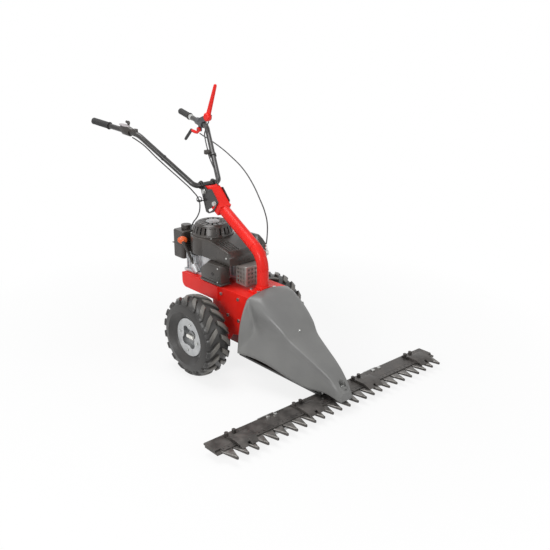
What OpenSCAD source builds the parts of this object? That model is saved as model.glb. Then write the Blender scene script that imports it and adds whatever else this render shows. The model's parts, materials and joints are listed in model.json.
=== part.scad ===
// Walk-behind sickle bar mower: a two-wheeled tractor unit that pushes a cutter bar.
// Millimetres. +Z is up, the machine drives towards -Y and +X is its left side.
// The origin is on the ground under the middle of the whole machine.

/* [Wheels] */
// Outside diameter of the tyres over the lugs
tyre_d = 381; // [350:1:460]
// Width of a tyre
tyre_w = 146; // [130:1:170]
// Diameter of the rim where the tyre's bead sits
bead_d = 152; // [140:1:165]
// Width of a rim between its flanges
rim_w = 80; // [72:1:90]
// Distance of the right wheel's middle from the machine's middle
wheel_out_right = 257; // [212:1:290]
// Distance of the left wheel's middle from the machine's middle
wheel_out_left = 212; // [212:1:290]
// Height of the tread lugs
lug_h = 13; // [6:1:16]
// Lugs round each shoulder of a tyre
lugs = 18; // [12:1:24]
// Bolt circle of a rim's outer disc
rim_bolt_circle = 132; // [124:1:136]
// Diameter of the drive axle
axle_d = 25; // [20:1:28]

/* [Deck] */
// Height of the deck's top above the ground
deck_h = 397; // [390:1:480]
// Width of the deck under the engine
deck_w = 260; // [230:1:310]
// Width over the side cheeks
cheek_w = 236; // [220:1:280]
// Distance from the axle back to the deck's rear edge
deck_rear = 285; // [270:1:345]
// Distance from the tyres' front to the deck's front edge
wheel_clear = 21.5; // [20:0.5:40]
// Thickness of the deck's sheet
sheet = 4; // [3:0.5:5]
// Height of the deck's turned-down rim
rim_drop = 72; // [40:1:80]

/* [Gearbox] */
// Width of the gearbox case
case_w = 140; // [130:1:170]
// Height of the gearbox case
case_h = 180; // [175:1:200]
// Distance of the gearbox case's underside below the axle
case_drop = 74.5; // [72:0.5:78]
// Wall of the gearbox case
case_wall = 10; // [8:1:12]
// Teeth of the worm wheel, a multiple of four
worm_teeth = 28; // [28:4:28]
// Lead of the single-start worm
worm_lead = 10; // [9:0.5:10.5]
// Diameter of the upright worm shaft
shaft_d = 16; // [14:0.5:16]
// Outside diameter of the input pulley
input_pulley_d = 110; // [100:1:125]

/* [Engine] */
// Distance from the axle back to the crankshaft
engine_back = 196; // [190:1:215]
// Diameter of the crankshaft
crank_d = 25; // [20:0.5:28]
// Outside diameter of the engine pulley
engine_pulley_d = 80; // [70:1:90]
// Height of the crankcase above the deck
crankcase_h = 93; // [85:1:100]
// Radius of the blower housing round the flywheel
blower_r = 110; // [106:1:110]
// Height of the blower housing's top above the deck
blower_top = 193; // [185:1:215]
// Diameter of the recoil starter cover at its foot
recoil_d = 202; // [190:1:205]
// Height of the recoil starter cover
recoil_h = 58; // [50:1:70]
// Length of the fuel tank along the machine
tank_l = 86; // [75:1:105]
// Width of the fuel tank
tank_w = 208; // [180:1:240]
// Height of the fuel tank
tank_h = 140; // [120:1:150]
// Length of the air filter box
filter_l = 150; // [130:1:150]
// Height of the air filter box
filter_h = 97; // [80:1:100]

/* [Column] */
// Outside diameter of the column tube
column_d = 54; // [48:1:58]
// Wall of the column tube
column_wall = 3; // [2:0.5:5]
// Distance from the axle forward to the upright part of the column
column_front = 174; // [170:1:175]
// Height of the corner of the column's bend above the deck
column_rise = 165; // [150:1:180]
// Slope of the column's upper part above the horizontal
column_slope = 30; // [28:1:32]
// Radius of the column's bend
column_bend = 110; // [90:1:130]
// Width of the box at the column's head
head_w = 62; // [58:1:68]

/* [Handlebar] */
// Outside diameter of the handlebar tube
tube_d = 25.4; // [25:0.1:36]
// Wall of the handlebar tube
tube_wall = 2.5; // [2:0.5:4]
// Distance from the axle back to the tilt pivot
pivot_back = 208; // [200:1:210]
// Height of the tilt pivot above the deck
pivot_rise = 400; // [397:1:403]
// Half the distance between the arms' upper bends
arm_half = 202; // [180:1:240]
// Distance from the axle back to the upper bends
arm_back = 497; // [470:1:600]
// Height of the upper bends above the tilt pivot
arm_rise = 251; // [210:1:280]
// Distance from the axle back to the rear end of the grips
handle_reach = 812; // [780:1:960]
// Length of a grip
grip_l = 132; // [110:1:160]
// Wall of a grip over the tube
grip_wall = 4; // [3:0.5:7]
// How far the handlebar tilts down, in degrees
tilt_range = 35; // [20:1:36]
// Length of the red blade lever
blade_lever_l = 172; // [140:1:200]

/* [Cutter bar] */
// Distance between neighbouring fingers, which is also the knife's stroke
tooth_pitch = 50.8; // [44:0.1:62]
// Number of fingers, an odd number
tooth_count = 25; // [19:2:29]
// Distance from the axle forward to the finger tips
tip_reach = 742; // [742:1:900]
// Height of the finger bar's underside above the ground
bar_base = 30; // [26:1:34]
// Thickness of the finger bar
finger_t = 8; // [6:0.5:9]
// Thickness of the back plate
plate_t = 8; // [6:0.5:9]
// Thickness of a knife section
knife_t = 3; // [2:0.5:3.5]
// Distance of the outer clips from the ends of the bar
clip_inset = 114.6; // [60:0.1:140]
// Distance of the inner clips from the middle
clip_inner = 180; // [150:1:260]
// Distance of the skid shoes from the middle
skid_out = 320; // [260:1:380]

/* [Nose cover] */
// Thickness of the moulded nose cover
cover_t = 3; // [2:0.5:4]

/* [Hidden] */
$fn = 48;
// Clearances: a seat that is pressed or bolted, a turning fit, and two parts that pass each other
seat = 0.05;
running = 0.06;
passing = 0.5;

axle_z = tyre_d / 2;
axle_r = axle_d / 2;
deck_front = tyre_d / 2 + wheel_clear;
case_base = axle_z - case_drop;
axle_y = (tip_reach - handle_reach) / 2;

// Tyre and rim
bead_r = bead_d / 2;
tread_r = tyre_d / 2 - lug_h;
bead_gap = 0.3;
carcass_mid = (bead_r + bead_gap + tread_r) / 2;
carcass_half = (tread_r - bead_r - bead_gap) / 2;
carcass_w = tyre_w - 6;
tyre_wall = 9;
bead_draw = 0.55;
bead_open = 44;
lug_angle = 9.5;
flange_r = bead_r + 15;
flange_t = 4;
barrel_t = 3.5;
web_t = 6;
hub_r = 27;
hub_in = 58;
hub_out = 30;
hub_flange_r = 50;
lock_r = 4;
lock_off = 19.5;
rim_turn = 10;

// Deck and cheeks
deck_under = deck_h - sheet;
cheek_in = cheek_w / 2 - 2 * sheet;
skirt_drop = 118;
skirt_front_drop = 151;
cheek_low = 130;
cheek_front_low = 181;
cheek_rear = 60;

// Gearbox
worm_r = 13;
worm_throw = 4;
worm_len = 4 * worm_lead;
wheel_pitch_r = worm_teeth * worm_lead / (2 * PI);
shaft_front = wheel_pitch_r + worm_r;
wheel_tip_r = shaft_front - worm_r + 2;
wheel_root_r = shaft_front - worm_r - worm_throw - 1;
wheel_w = 20;
case_rear = wheel_tip_r + 16 + case_wall;
case_front = shaft_front + 44 + case_wall;
case_top = case_base + case_h;
tube_out = cheek_w / 2 + 32;
axle_tube_r = 30;
bearing_w = 12;
axle_bearing_r = 23.5;
shaft_bearing_r = 17.5;
shaft_r = shaft_d / 2;
case_flange_r = 52;
case_flange_t = 10;

// Belt drive under the deck
belt_z = deck_under - 31;
belt_w = 10;
belt_t = 8;
groove_w = belt_w + 1.6;
groove_depth = 11;
pulley_w = 24;
belt_proud = 2;
idler_r = 20;
idler_arm_l = 70;
idler_back = 150;
idler_gap = 4;
idler_pin_r = 6;
idler_boss_r = 8;

// Knife drive
rocker_rear = 60;
knife_half_stroke = tooth_pitch / 2;
knife_pin_front = tip_reach - 92;
rocker_pivot_front = shaft_front + rocker_rear;
rocker_front = knife_pin_front - rocker_pivot_front;
rocker_angle = asin(knife_half_stroke / rocker_front);
eccentric_throw = rocker_rear * sin(rocker_angle);
eccentric_r = 12;
rocker_z = 76;
rocker_t = 12;
rocker_pin_r = 7;
rocker_nose_r = 13;
leg_room = 5.6;
pivot_pin_r = 8;
fork_half = eccentric_r + 2 * eccentric_throw + passing;

// Cutter bar levels and depths, from the axle forward
finger_top = bar_base + finger_t;
plate_top = finger_top + plate_t;
bar_half = (tooth_count - 1) / 2 * tooth_pitch + 45;
clip_outer = bar_half - clip_inset;
bar_back = tip_reach - 159;
plate_front = tip_reach - 87;
finger_root = tip_reach - 70;
finger_shank = 4;
// Seam at the root of each finger and over each knife section, which are pieces of their own
seam = 0.1;
knife_z = finger_top + 0.3;
knife_back_z = knife_z + knife_t;
knife_back_t = 5;
knife_rear = plate_front + 1.5;
knife_back_w = 20;
clip_t = 5;
clip_short = 26;
clip_long = 64;
clip_bolt_x = 18.7;
clip_bolt_front = bar_back + 20;
skid_bolt_x = 20;
skid_bolt_front = bar_back + 16;
skid_w = 84;
skid_t = 4;
m10 = 5;
hole_gap = 0.2;

// Carrier from the gearbox to the cutter bar
carrier_w = 110;
carrier_t = 10;
carrier_wall = 8;
carrier_front = plate_front - 37;
carrier_rear = case_front - 50;
tongue_z = 97;
tongue_t = 4;
nose_front = tip_reach - 50;
nose_boss_r = 17;

// Column head and tilting bracket
column_r = column_d / 2;
column_corner_h = deck_h + column_rise;
pivot_h = deck_h + pivot_rise;
arm_h = pivot_h + arm_rise;
base_t = 8;
head_start = 318;
head_over = 11;
head_above = 28;
head_below = 27;
head_crown = 54;
plate_gap = 1;
bracket_t = 4;
bracket_in = head_w / 2 + plate_gap;
bracket_out = bracket_in + bracket_t;
pivot_r = 6;
slot_angle = 208;
slot_r = 92;
slot_end = slot_angle + tilt_range + 6;
washer_r = 12;
washer_t = 2.7;

// Handlebar tube
tube_r = tube_d / 2;
grip_d = tube_d + 2 * grip_wall;
cross_back = pivot_back + 24;
cross_h = pivot_h + 27;
cross_half = 71;
low_bend = 36;
high_bend = 80;
grip_splay = 11;
grip_rise = 6.7;
grip_dir = [sin(grip_splay) * cos(grip_rise), cos(grip_splay) * cos(grip_rise), sin(grip_rise)];
grip_end_t = 6;
grip_end_y = handle_reach - grip_d / 2 * sqrt(1 - grip_dir[1] * grip_dir[1]);
arm_top = [arm_half, arm_back, arm_h];
tube_end_run = (grip_end_y - arm_back) / grip_dir[1] - grip_end_t;
tube_end = arm_top + tube_end_run * grip_dir;
clamp_r = tube_r + 5;
clamp_w = 8;

// Hand levers, by distance along the grip part of the tube from the upper bend
block_start = 30;
block_l = 78;
block_r = tube_r + 6;
blade_pivot = arm_top + [-12, -29, 50];
blade_lean = 23;
drive_pivot = arm_top + [8, 80, -28];
lever_pin_r = 5;
throttle_start = 52;
throttle_l = 46;
throttle_pivot = arm_top + 75 * grip_dir + [0, 0, 40];

// Engine places
crank_r = crank_d / 2;
crankcase_r = 72;
crank_base_r = 95;
crank_side = 94;
deck_hole_r = 40;
bore_y = engine_back - 78;
cyl_front = bore_y - 98;
cyl_half = 46;
fin_half = 54;
fin_t = 3;
fin_pitch = 10.5;
cyl_low = deck_h + 15;
cyl_high = deck_h + 101;
blower_z = deck_h + 106;
blower_wall = 3;
blower_roof = deck_h + blower_top;
blower_front = -60;
blower_half = 100;
duct_out = 130;
duct_rear = 80;
flywheel_r = 85;
recoil_z = blower_roof;
tank_front = engine_back + blower_r + 0.3;
tank_z = deck_h + 51;
cap_x = -50;
cap_r = 25;
neck_r = 18;
oil_base = [-98, engine_back + 34, deck_h + 48];
oil_top = [-118, engine_back + 86, deck_h + 153];
oil_axis = unit(oil_top - oil_base);
oil_r = 12;
oil_bore = 9;
oil_boss_r = 17;
oil_boss_l = 44;
filter_in = 72;
filter_out = 132;
filter_front = -26;
filter_z = deck_h + 6;
muffler_front = -110;
muffler_back = -45;
rope_x = 60;
rope_z = recoil_z + 24;
rope_guide_end = engine_back + 100;

// Cable routes: points chosen by hand, from the handlebar to the chassis
cable_d = 6;
throttle_route = [
    [-208, 541, 1030], [-204, 515, 1022], [-190, 468, 998], [-166, 415, 951], [-135, 352, 897],
    [-104, 292, 846], [-74, 252, 800], [-54, 232, 760], [-52, 226, 715], [-58, 238, 675],
    [-70, 260, 640], [-77, 271, 612], [-77, 270, 591]];
drive_route = [
    [206, 562, 1002], [204, 530, 994], [200, 479, 984], [194, 416, 970], [188, 348, 952], [180, 278, 930],
    [164, 161, 886], [140, 59, 832], [114, -18, 784], [88, -89, 732], [66, -130, 690], [48, -149, 636],
    [40, -152, 600], [40, -152, 577]];
blade_route = [
    [190, 462, 1075], [174, 460, 1048], [160, 458, 1020], [145, 433, 992], [124, 390, 956],
    [107, 357, 930], [84, 296, 892], [60, 240, 872], [36, 200, 850], [20, 172, 826]];

// Nose cover sections: distance from the rear edge in hundredths of the cover's length, height of
// the middle, then half width and height of the top's rounding, of the ridge's upper side, middle and
// lower side and of the lower edge; behind the knee the ridge's two sides part round a flat panel
cover_sections = [
    [0, 418, 110, 402, 130, 387, 168, 290, 185, 168, 186, 150],
    [5.5, 409, 110, 397, 126, 325, 147, 272, 155, 206, 178, 149.5],
    [11, 398, 109, 388, 122, 264, 125, 254, 126, 244, 170, 149],
    [21, 371, 106, 361, 115, 264, 117, 252, 117, 240, 156, 144],
    [31, 340, 98, 330, 106, 250, 108, 238, 108, 226, 142, 133],
    [40, 305, 88, 296, 97, 232, 99, 221, 99, 209, 129, 118],
    [48, 265, 74, 257, 87, 216, 89, 207, 90, 197, 117, 103],
    [63, 222, 61, 215, 70, 178, 72, 169, 73, 160, 95, 80],
    [74, 192, 53, 186, 59, 152, 61, 144, 62, 136, 78, 66],
    [85, 161, 42, 156, 49, 130, 51, 122, 52, 115, 64, 57],
    [94, 130, 30, 125, 40, 107, 42, 100, 43, 94, 52, 52],
    [100, 88, 18, 86, 27, 77, 30, 73, 32, 67, 36, 50]];

// Shapes used by several parts

function unit(v) = v / norm(v);
function flip_x(p) = [-p[0], p[1], p[2]];

// Measures that are taken from the axle, set in the machine's own frame
module from_axle() {
    translate([0, axle_y, 0]) children();
}

module on_side(side) {
    if (side > 0) children();
    else mirror([1, 0, 0]) children();
}

module both_sides() {
    for (side = [1, -1]) on_side(side) children();
}

// A box given by its low and high corners
module box(low, high) {
    translate(low) cube(high - low);
}

// A cylinder between two points
module rod(a, b, r) {
    d = b - a;
    translate(a) rotate([0, acos(d[2] / norm(d)), atan2(d[1], d[0])]) cylinder(r = r, h = norm(d));
}

// A cylinder along X between two x values
module rod_x(x1, x2, y, z, r) {
    translate([x1, y, z]) rotate([0, 90, 0]) cylinder(r = r, h = x2 - x1);
}

// A plate drawn in the Y-Z plane and given its thickness along X
module side_plate(x1, x2) {
    translate([x1, 0, 0]) rotate([90, 0, 90]) linear_extrude(x2 - x1) children();
}

// A flat slab with round upright corners
module slab(low, high, r) {
    w = high - low;
    translate(low) linear_extrude(w[2]) {
        translate([r, 0]) square([w[0] - 2 * r, w[1]]);
        translate([0, r]) square([w[0], w[1] - 2 * r]);
        for (x = [r, w[0] - r], y = [r, w[1] - r]) translate([x, y]) circle(r);
    }
}

// A tube along a line with round corners: straight pieces joined by elbows
elbow_lap = 1;
elbow_swell = 0.08;
function corner_turn(p, i) = acos(unit(p[i] - p[i - 1]) * unit(p[i + 1] - p[i]));
function corner_cut(p, bends, i) =
    (i == 0 || i == len(p) - 1) ? 0 : bends[i] * tan(corner_turn(p, i) / 2);

module elbow(p, bend, i, r, bore) {
    u = unit(p[i] - p[i - 1]);
    w = unit(p[i + 1] - p[i]);
    n = unit(w - (u * w) * u);
    z = cross(-n, u);
    turn = corner_turn(p, i);
    c = p[i] - bend * tan(turn / 2) * u + bend * n;
    multmatrix([
        [-n[0], u[0], z[0], c[0]],
        [-n[1], u[1], z[1], c[1]],
        [-n[2], u[2], z[2], c[2]],
        [0, 0, 0, 1]])
        rotate_extrude(angle = turn) translate([bend, 0]) difference() {
            circle(r);
            circle(bore);
        }
}

// Each straight piece runs a little way into the elbows' slightly thicker wall
module bent_tube(p, bends, r, bore) {
    for (i = [0 : len(p) - 2]) {
        u = unit(p[i + 1] - p[i]);
        start = i == 0 ? 0 : corner_cut(p, bends, i) - elbow_lap;
        stop = i == len(p) - 2 ? 0 : corner_cut(p, bends, i + 1) - elbow_lap;
        difference() {
            rod(p[i] + start * u, p[i + 1] - stop * u, r);
            rod(p[i] + (start - 1) * u, p[i + 1] - (stop - 1) * u, bore);
        }
    }
    for (i = [1 : len(p) - 2]) elbow(p, bends[i], i, r + elbow_swell, bore - elbow_swell);
}

// A hexagon-headed bolt, head upwards from the origin, shank downwards
module bolt(r, length, head) {
    cylinder(r = r * 1.8, h = head, $fn = 6);
    translate([0, 0, -length]) cylinder(r = r, h = length);
}

// A cable: one tube swept through its route's points on a smooth curve
cable_sides = 8;
cable_steps = 3;
function spline(a, b, c, d, t) =
    0.5 * (2 * b + (c - a) * t + (2 * a - 5 * b + 4 * c - d) * t * t
    + (3 * b - a - 3 * c + d) * t * t * t);
function route_at(p, i) = p[max(0, min(len(p) - 1, i))];
function smooth_route(p) = [
    for (i = [0 : len(p) - 2], k = [0 : cable_steps - 1])
        spline(route_at(p, i - 1), p[i], p[i + 1], route_at(p, i + 2), k / cable_steps),
    p[len(p) - 1]];
function ring_at(c, dir, r) =
    let (a = unit(cross(dir, [1, 0, 0.2])), b = cross(dir, a))
    [for (k = [0 : cable_sides - 1]) let (t = 360 * k / cable_sides) c + r * (cos(t) * a + sin(t) * b)];

module cable(route) {
    p = smooth_route(route);
    n = len(p);
    s = cable_sides;
    rings = [for (i = [0 : n - 1])
        ring_at(p[i], unit(p[min(n - 1, i + 1)] - p[max(0, i - 1)]), cable_d / 2)];
    sides = [for (i = [0 : n - 2], k = [0 : s - 1])
        let (a = i * s + k, b = i * s + (k + 1) % s) each [[a, a + s, b + s], [a, b + s, b]]];
    ends = [for (k = [1 : s - 2]) each [[0, k, k + 1], [(n - 1) * s, (n - 1) * s + k + 1, (n - 1) * s + k]]];
    polyhedron([for (ring = rings) each ring], concat(sides, ends));
}

// Wheels

function signed_power(v, e) = sign(v) * pow(abs(v), e);
function tyre_section(half_w, half_h) = [
    for (t = [0 : 15 : 345])
        let (s = signed_power(sin(t), 0.6), w = half_w * signed_power(cos(t), 0.75))
        [carcass_mid + half_h * s, w * (s < 0 ? 1 + bead_draw * s : 1)]];

// The wheel's axis is local Z and points outwards
module wheel_place(side) {
    out = side > 0 ? wheel_out_left : wheel_out_right;
    on_side(side) translate([out, 0, axle_z]) rotate([0, 90, 0]) children();
}

module tread_lug(s) {
    half = tyre_w / 2;
    rotate_extrude(angle = lug_angle, $fn = 96) polygon([
        [tread_r - 8, s * 4], [tyre_d / 2, s * 4], [tyre_d / 2 - 2, s * (half - 30)],
        [tyre_d / 2 - 8, s * (half - 14)], [tyre_d / 2 - 20, s * (half - 3)], [tread_r - 26, s * half],
        [tread_r - 30, s * (half - 13)], [tread_r - 14, s * (half - 31)]]);
}

module tyre(side) {
    color("#2c2b2a") wheel_place(side) {
        difference() {
            rotate_extrude($fn = 96) {
                polygon(tyre_section(carcass_w / 2, carcass_half));
                translate([bead_r + bead_gap, bead_gap - rim_w / 2]) square([16, rim_w - 2 * bead_gap]);
            }
            rotate_extrude($fn = 96) {
                polygon(tyre_section(carcass_w / 2 - tyre_wall, carcass_half - tyre_wall));
                translate([bead_r - 2, -bead_open / 2]) square([carcass_mid - bead_r, bead_open]);
            }
        }
        for (i = [0 : lugs - 1]) {
            rotate([0, 0, (i + 0.5) * 360 / lugs - lug_angle / 2]) tread_lug(1);
            rotate([0, 0, i * 360 / lugs - lug_angle / 2]) tread_lug(-1);
        }
    }
}

module rim_bolt_places() {
    for (i = [0 : 3]) rotate([0, 0, rim_turn + 90 * i]) translate([rim_bolt_circle / 2, 0, 0]) children();
}

module rim(side) {
    barrel_in = bead_r - barrel_t;
    color("#c2c4c6") wheel_place(side) difference() {
        rotate_extrude($fn = 96) {
            translate([barrel_in, -rim_w / 2]) square([barrel_t, rim_w]);
            translate([barrel_in, -rim_w / 2 - flange_t]) square([flange_r - barrel_in, flange_t]);
            translate([20, rim_w / 2]) square([flange_r - 20, flange_t]);
            translate([hub_r + seat, -web_t]) square([barrel_in - hub_r, web_t]);
        }
        translate([0, 0, rim_w / 2 - 1]) linear_extrude(flange_t + 2) {
            circle(42);
            for (i = [0 : 3]) rotate(rim_turn + 45 + 90 * i) translate([37, 0]) circle(21);
        }
        rim_bolt_places() translate([0, 0, rim_w / 2 - 1]) cylinder(r = m10 - 1 + hole_gap, h = flange_t + 2);
    }
}

module wheel_bolts() {
    color("#8a8d90") for (side = [1, -1]) wheel_place(side) rim_bolt_places()
        translate([0, 0, rim_w / 2 + flange_t]) bolt(m10 - 1, flange_t + 8, 5);
}

module wheel_hubs() {
    color("#6f7275") for (side = [1, -1]) wheel_place(side) difference() {
        union() {
            translate([0, 0, -hub_in]) cylinder(r = hub_r, h = hub_in + hub_out);
            translate([0, 0, -web_t - 8]) cylinder(r = hub_flange_r, h = 8);
        }
        translate([0, 0, -hub_in - 1]) cylinder(r = axle_r + seat, h = hub_in + hub_out + 2);
        translate([0, lock_off, -2]) cylinder(r = lock_r + running, h = hub_out + 3);
    }
}

module hub_lock(side) {
    color("#eceae4") wheel_place(side) {
        translate([0, lock_off, 0]) cylinder(r = lock_r, h = hub_out + 1);
        box([-8, -lock_off - 2, hub_out + 0.3], [8, lock_off + 8, hub_out + 9]);
    }
}

module axle_shaft() {
    color("#8f9194") rod_x(4 - wheel_out_right - hub_out, wheel_out_left + hub_out - 4, 0, axle_z, axle_r);
}

// Gearbox and its drive

module worm_wheel() {
    tooth_tip = 1;
    tooth_root = 2.3;
    color("#b08d4a") translate([0, 0, axle_z]) rotate([0, 90, 0]) difference() {
        union() {
            translate([0, 0, -wheel_w / 2]) linear_extrude(wheel_w) {
                circle(wheel_root_r);
                for (i = [0 : worm_teeth - 1]) rotate(360 * i / worm_teeth) polygon([
                    [wheel_root_r - 3, -tooth_root], [wheel_tip_r, -tooth_tip],
                    [wheel_tip_r, tooth_tip], [wheel_root_r - 3, tooth_root]]);
            }
            translate([0, 0, -wheel_w]) cylinder(r = axle_r + 10, h = 2 * wheel_w);
        }
        translate([0, 0, -wheel_w - 1]) cylinder(r = axle_r + seat, h = 2 * wheel_w + 2);
    }
}

// The upright shaft with its worm, an off-centre circle twisted along the shaft, and the
// eccentric that works the knife
module worm_shaft() {
    worm_turns = 4;
    foot = rocker_z - 4;
    worm_foot = axle_z - worm_len / 2;
    color("#9a9c9e") translate([0, -shaft_front, 0]) {
        translate([0, 0, foot]) cylinder(r = shaft_r, h = worm_foot - foot);
        translate([0, 0, worm_foot])
            linear_extrude(worm_len, twist = -360 * worm_turns, slices = 8 * worm_turns)
                translate([0, -worm_throw]) circle(worm_r, $fn = 16);
        translate([0, 0, worm_foot + worm_len])
            cylinder(r = shaft_r, h = belt_z + pulley_w / 2 + 2 - worm_foot - worm_len);
        translate([0, 0, rocker_z - 2]) difference() {
            translate([0, eccentric_throw, 0]) cylinder(r = eccentric_r, h = rocker_t + 4);
            translate([0, 0, -1]) cylinder(r = shaft_r + seat, h = rocker_t + 6);
        }
    }
}

// A grooved pulley about its own axis, with the groove's middle at z = 0
module pulley(d, bore_r) {
    floor_r = d / 2 - groove_depth;
    lip = groove_w / 2 + 3;
    rotate_extrude($fn = 72) polygon([
        [bore_r, -pulley_w / 2], [floor_r - 1, -pulley_w / 2], [d / 2, -lip], [d / 2, -groove_w / 2],
        [floor_r, -groove_w / 2], [floor_r, groove_w / 2], [d / 2, groove_w / 2], [d / 2, lip],
        [floor_r - 1, pulley_w / 2], [bore_r, pulley_w / 2]]);
}

module input_pulley() {
    color("#55585b") translate([0, -shaft_front, belt_z]) pulley(input_pulley_d, shaft_r + seat);
}

module engine_pulley() {
    color("#55585b") translate([0, engine_back, belt_z]) pulley(engine_pulley_d, crank_r + seat);
}

// The outline of a taut loop round both pulleys, at a depth below their rims
module belt_outline(depth) {
    r1 = input_pulley_d / 2 - depth;
    r2 = engine_pulley_d / 2 - depth;
    tilt = asin((r1 - r2) / (engine_back + shaft_front));
    y1 = -shaft_front;
    translate([0, y1]) circle(r1, $fn = 96);
    translate([0, engine_back]) circle(r2, $fn = 96);
    polygon([for (e = [[r1, y1, 1], [r2, engine_back, 1], [r2, engine_back, -1], [r1, y1, -1]])
        [e[2] * e[0] * cos(tilt), e[1] + e[0] * sin(tilt)]]);
}

module drive_belt() {
    color("#1d1d1d") translate([0, 0, belt_z - belt_w / 2]) linear_extrude(belt_w) difference() {
        belt_outline(belt_proud);
        belt_outline(belt_proud + belt_t);
    }
}

// The tensioner hangs under the deck beside the belt's right run
idler_y = idler_back - idler_arm_l;
belt_run_x = input_pulley_d / 2 - belt_proud
    - (input_pulley_d - engine_pulley_d) / 2 * (idler_y + shaft_front) / (engine_back + shaft_front);
idler_x = -belt_run_x - idler_r - idler_gap;
idler_arm_z = belt_z + pulley_w / 2 + 2;
idler_arm_t = 8;

module idler_arm() {
    color("#77797c") {
        difference() {
            translate([0, 0, idler_arm_z]) linear_extrude(idler_arm_t) {
                translate([idler_x, idler_back]) circle(16);
                translate([idler_x, idler_y]) circle(14);
                translate([idler_x - 11, idler_y]) square([22, idler_arm_l]);
            }
            translate([idler_x, idler_back, idler_arm_z - 1])
                cylinder(r = idler_boss_r + running, h = idler_arm_t + 2);
        }
        translate([idler_x, idler_y, belt_z - pulley_w / 2])
            cylinder(r = idler_pin_r, h = idler_arm_z - belt_z + pulley_w / 2 + 1);
    }
}

module idler_pulley() {
    color("#3a3a3b") translate([idler_x, idler_y, belt_z - pulley_w / 2 + 2]) difference() {
        cylinder(r = idler_r, h = pulley_w - 1);
        translate([0, 0, -1]) cylinder(r = idler_pin_r + running, h = pulley_w + 2);
    }
}

module gearbox_case() {
    half = case_w / 2;
    color("#8f1d17") difference() {
        union() {
            box([-half, -case_front, case_base], [half, case_rear, case_top]);
            both_sides() {
                rod_x(half - 1, tube_out, 0, axle_z, axle_tube_r);
                rod_x(cheek_in - case_flange_t, cheek_in, 0, axle_z, case_flange_r);
            }
        }
        box([case_wall - half, case_wall - case_front, case_base + case_wall],
            [half - case_wall, case_rear + 1, case_top - case_wall]);
        rod_x(-tube_out - 1, tube_out + 1, 0, axle_z, axle_bearing_r - 4);
        both_sides() rod_x(tube_out - bearing_w, tube_out + 1, 0, axle_z, axle_bearing_r + seat);
        translate([0, -shaft_front, case_base - 1]) cylinder(r = shaft_bearing_r + seat, h = case_h + 2);
    }
}

module gearbox_cover() {
    cover_plate = 8;
    color("#8f1d17") translate([0, case_rear + cover_plate, case_base]) rotate([90, 0, 0])
        slab([-case_w / 2, 0, 0], [case_w / 2, case_h, cover_plate], 12);
}

module ring(r_out, r_in, h) {
    difference() {
        cylinder(r = r_out, h = h);
        translate([0, 0, -1]) cylinder(r = r_in, h = h + 2);
    }
}

module drive_bearings() {
    color("#a9abad") {
        both_sides() translate([tube_out - bearing_w, 0, axle_z]) rotate([0, 90, 0])
            ring(axle_bearing_r, axle_r + running, bearing_w);
        for (z = [case_base, case_top - case_wall]) translate([0, -shaft_front, z])
            ring(shaft_bearing_r, shaft_r + running, case_wall);
    }
}

// Knife drive and cutter bar

module rocker_arm() {
    y0 = -rocker_pivot_front;
    y1 = -knife_pin_front;
    color("#5c5f62") {
        difference() {
            translate([0, 0, rocker_z]) linear_extrude(rocker_t) {
                difference() {
                    translate([-fork_half - 10, y0]) square([2 * fork_half + 20, rocker_rear + 24]);
                    translate([-fork_half, y0 + 26]) square([2 * fork_half, rocker_rear]);
                }
                translate([0, y0]) circle(fork_half + 10);
                polygon([[-18, y0], [18, y0], [11, y1], [-11, y1]]);
                translate([0, y1]) circle(rocker_nose_r);
            }
            translate([0, y0, rocker_z - 1]) cylinder(r = pivot_pin_r + running, h = rocker_t + 2);
        }
        translate([0, y1, plate_top + 7]) cylinder(r = rocker_pin_r, h = rocker_z + 1 - plate_top - 7);
    }
}

module knife_head() {
    slot_half = rocker_pin_r + 0.3;
    front = knife_rear + knife_back_w - 10;
    rear = knife_pin_front - 22;
    color("#4d5053") difference() {
        union() {
            box([-16, -front, plate_top + 0.6], [16, -rear, rocker_z - 5]);
            box([-16, -front, knife_back_z + knife_back_t], [16, -knife_rear, plate_top + 1]);
        }
        box([-slot_half, -knife_pin_front - 12, plate_top + 5], [slot_half, 1 - rear, rocker_z]);
    }
}

// One row of blunt points along the bar, each with a straight heel behind it
module tooth_row(root_half, tip_half, heel, root, tip) {
    last = (tooth_count - 1) / 2;
    for (i = [-last : last]) translate([i * tooth_pitch, 0]) {
        polygon([[-root_half, -heel], [-root_half, -root], [-tip_half, -tip + tip_half],
            [tip_half, -tip + tip_half], [root_half, -root], [root_half, -heel]]);
        translate([0, -tip + tip_half]) circle(tip_half, $fn = 24);
    }
}

module clip_places() {
    for (x = [-clip_outer, -clip_inner, clip_inner, clip_outer]) translate([x, 0, 0]) children();
}

module clip_bolt_places() {
    clip_places() for (s = [-1, 1]) translate([s * clip_bolt_x, -clip_bolt_front, 0]) children();
}

module skid_bolt_places() {
    for (side = [-1, 1], s = [-1, 1])
        translate([side * skid_out + s * skid_bolt_x, -skid_bolt_front, 0]) children();
}

module carrier_bolt_places() {
    for (x = [-34, 34], y = [0, 1]) translate([x, -bar_back - 9 - 18 * y, 0]) children();
}

module bar_holes() {
    clip_bolt_places() translate([0, 0, bar_base - 1]) cylinder(r = m10 + hole_gap, h = 40);
    skid_bolt_places() translate([0, 0, bar_base - 1]) cylinder(r = m10 + hole_gap, h = 40);
    carrier_bolt_places() translate([0, 0, bar_base - 1]) cylinder(r = m10 + hole_gap, h = 40);
}

module finger_bar() {
    color("#3d3c3b") difference() {
        translate([0, 0, bar_base]) linear_extrude(finger_t) {
            translate([-bar_half, -finger_root]) square([2 * bar_half, finger_root - bar_back - 8]);
            tooth_row(tooth_pitch * 0.36, 5.5, finger_root + seam, finger_root + finger_shank, tip_reach);
        }
        bar_holes();
    }
}

module back_plate() {
    color("#3a3837") difference() {
        box([-bar_half, -plate_front, finger_top], [bar_half, -bar_back, plate_top]);
        bar_holes();
    }
}

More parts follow.
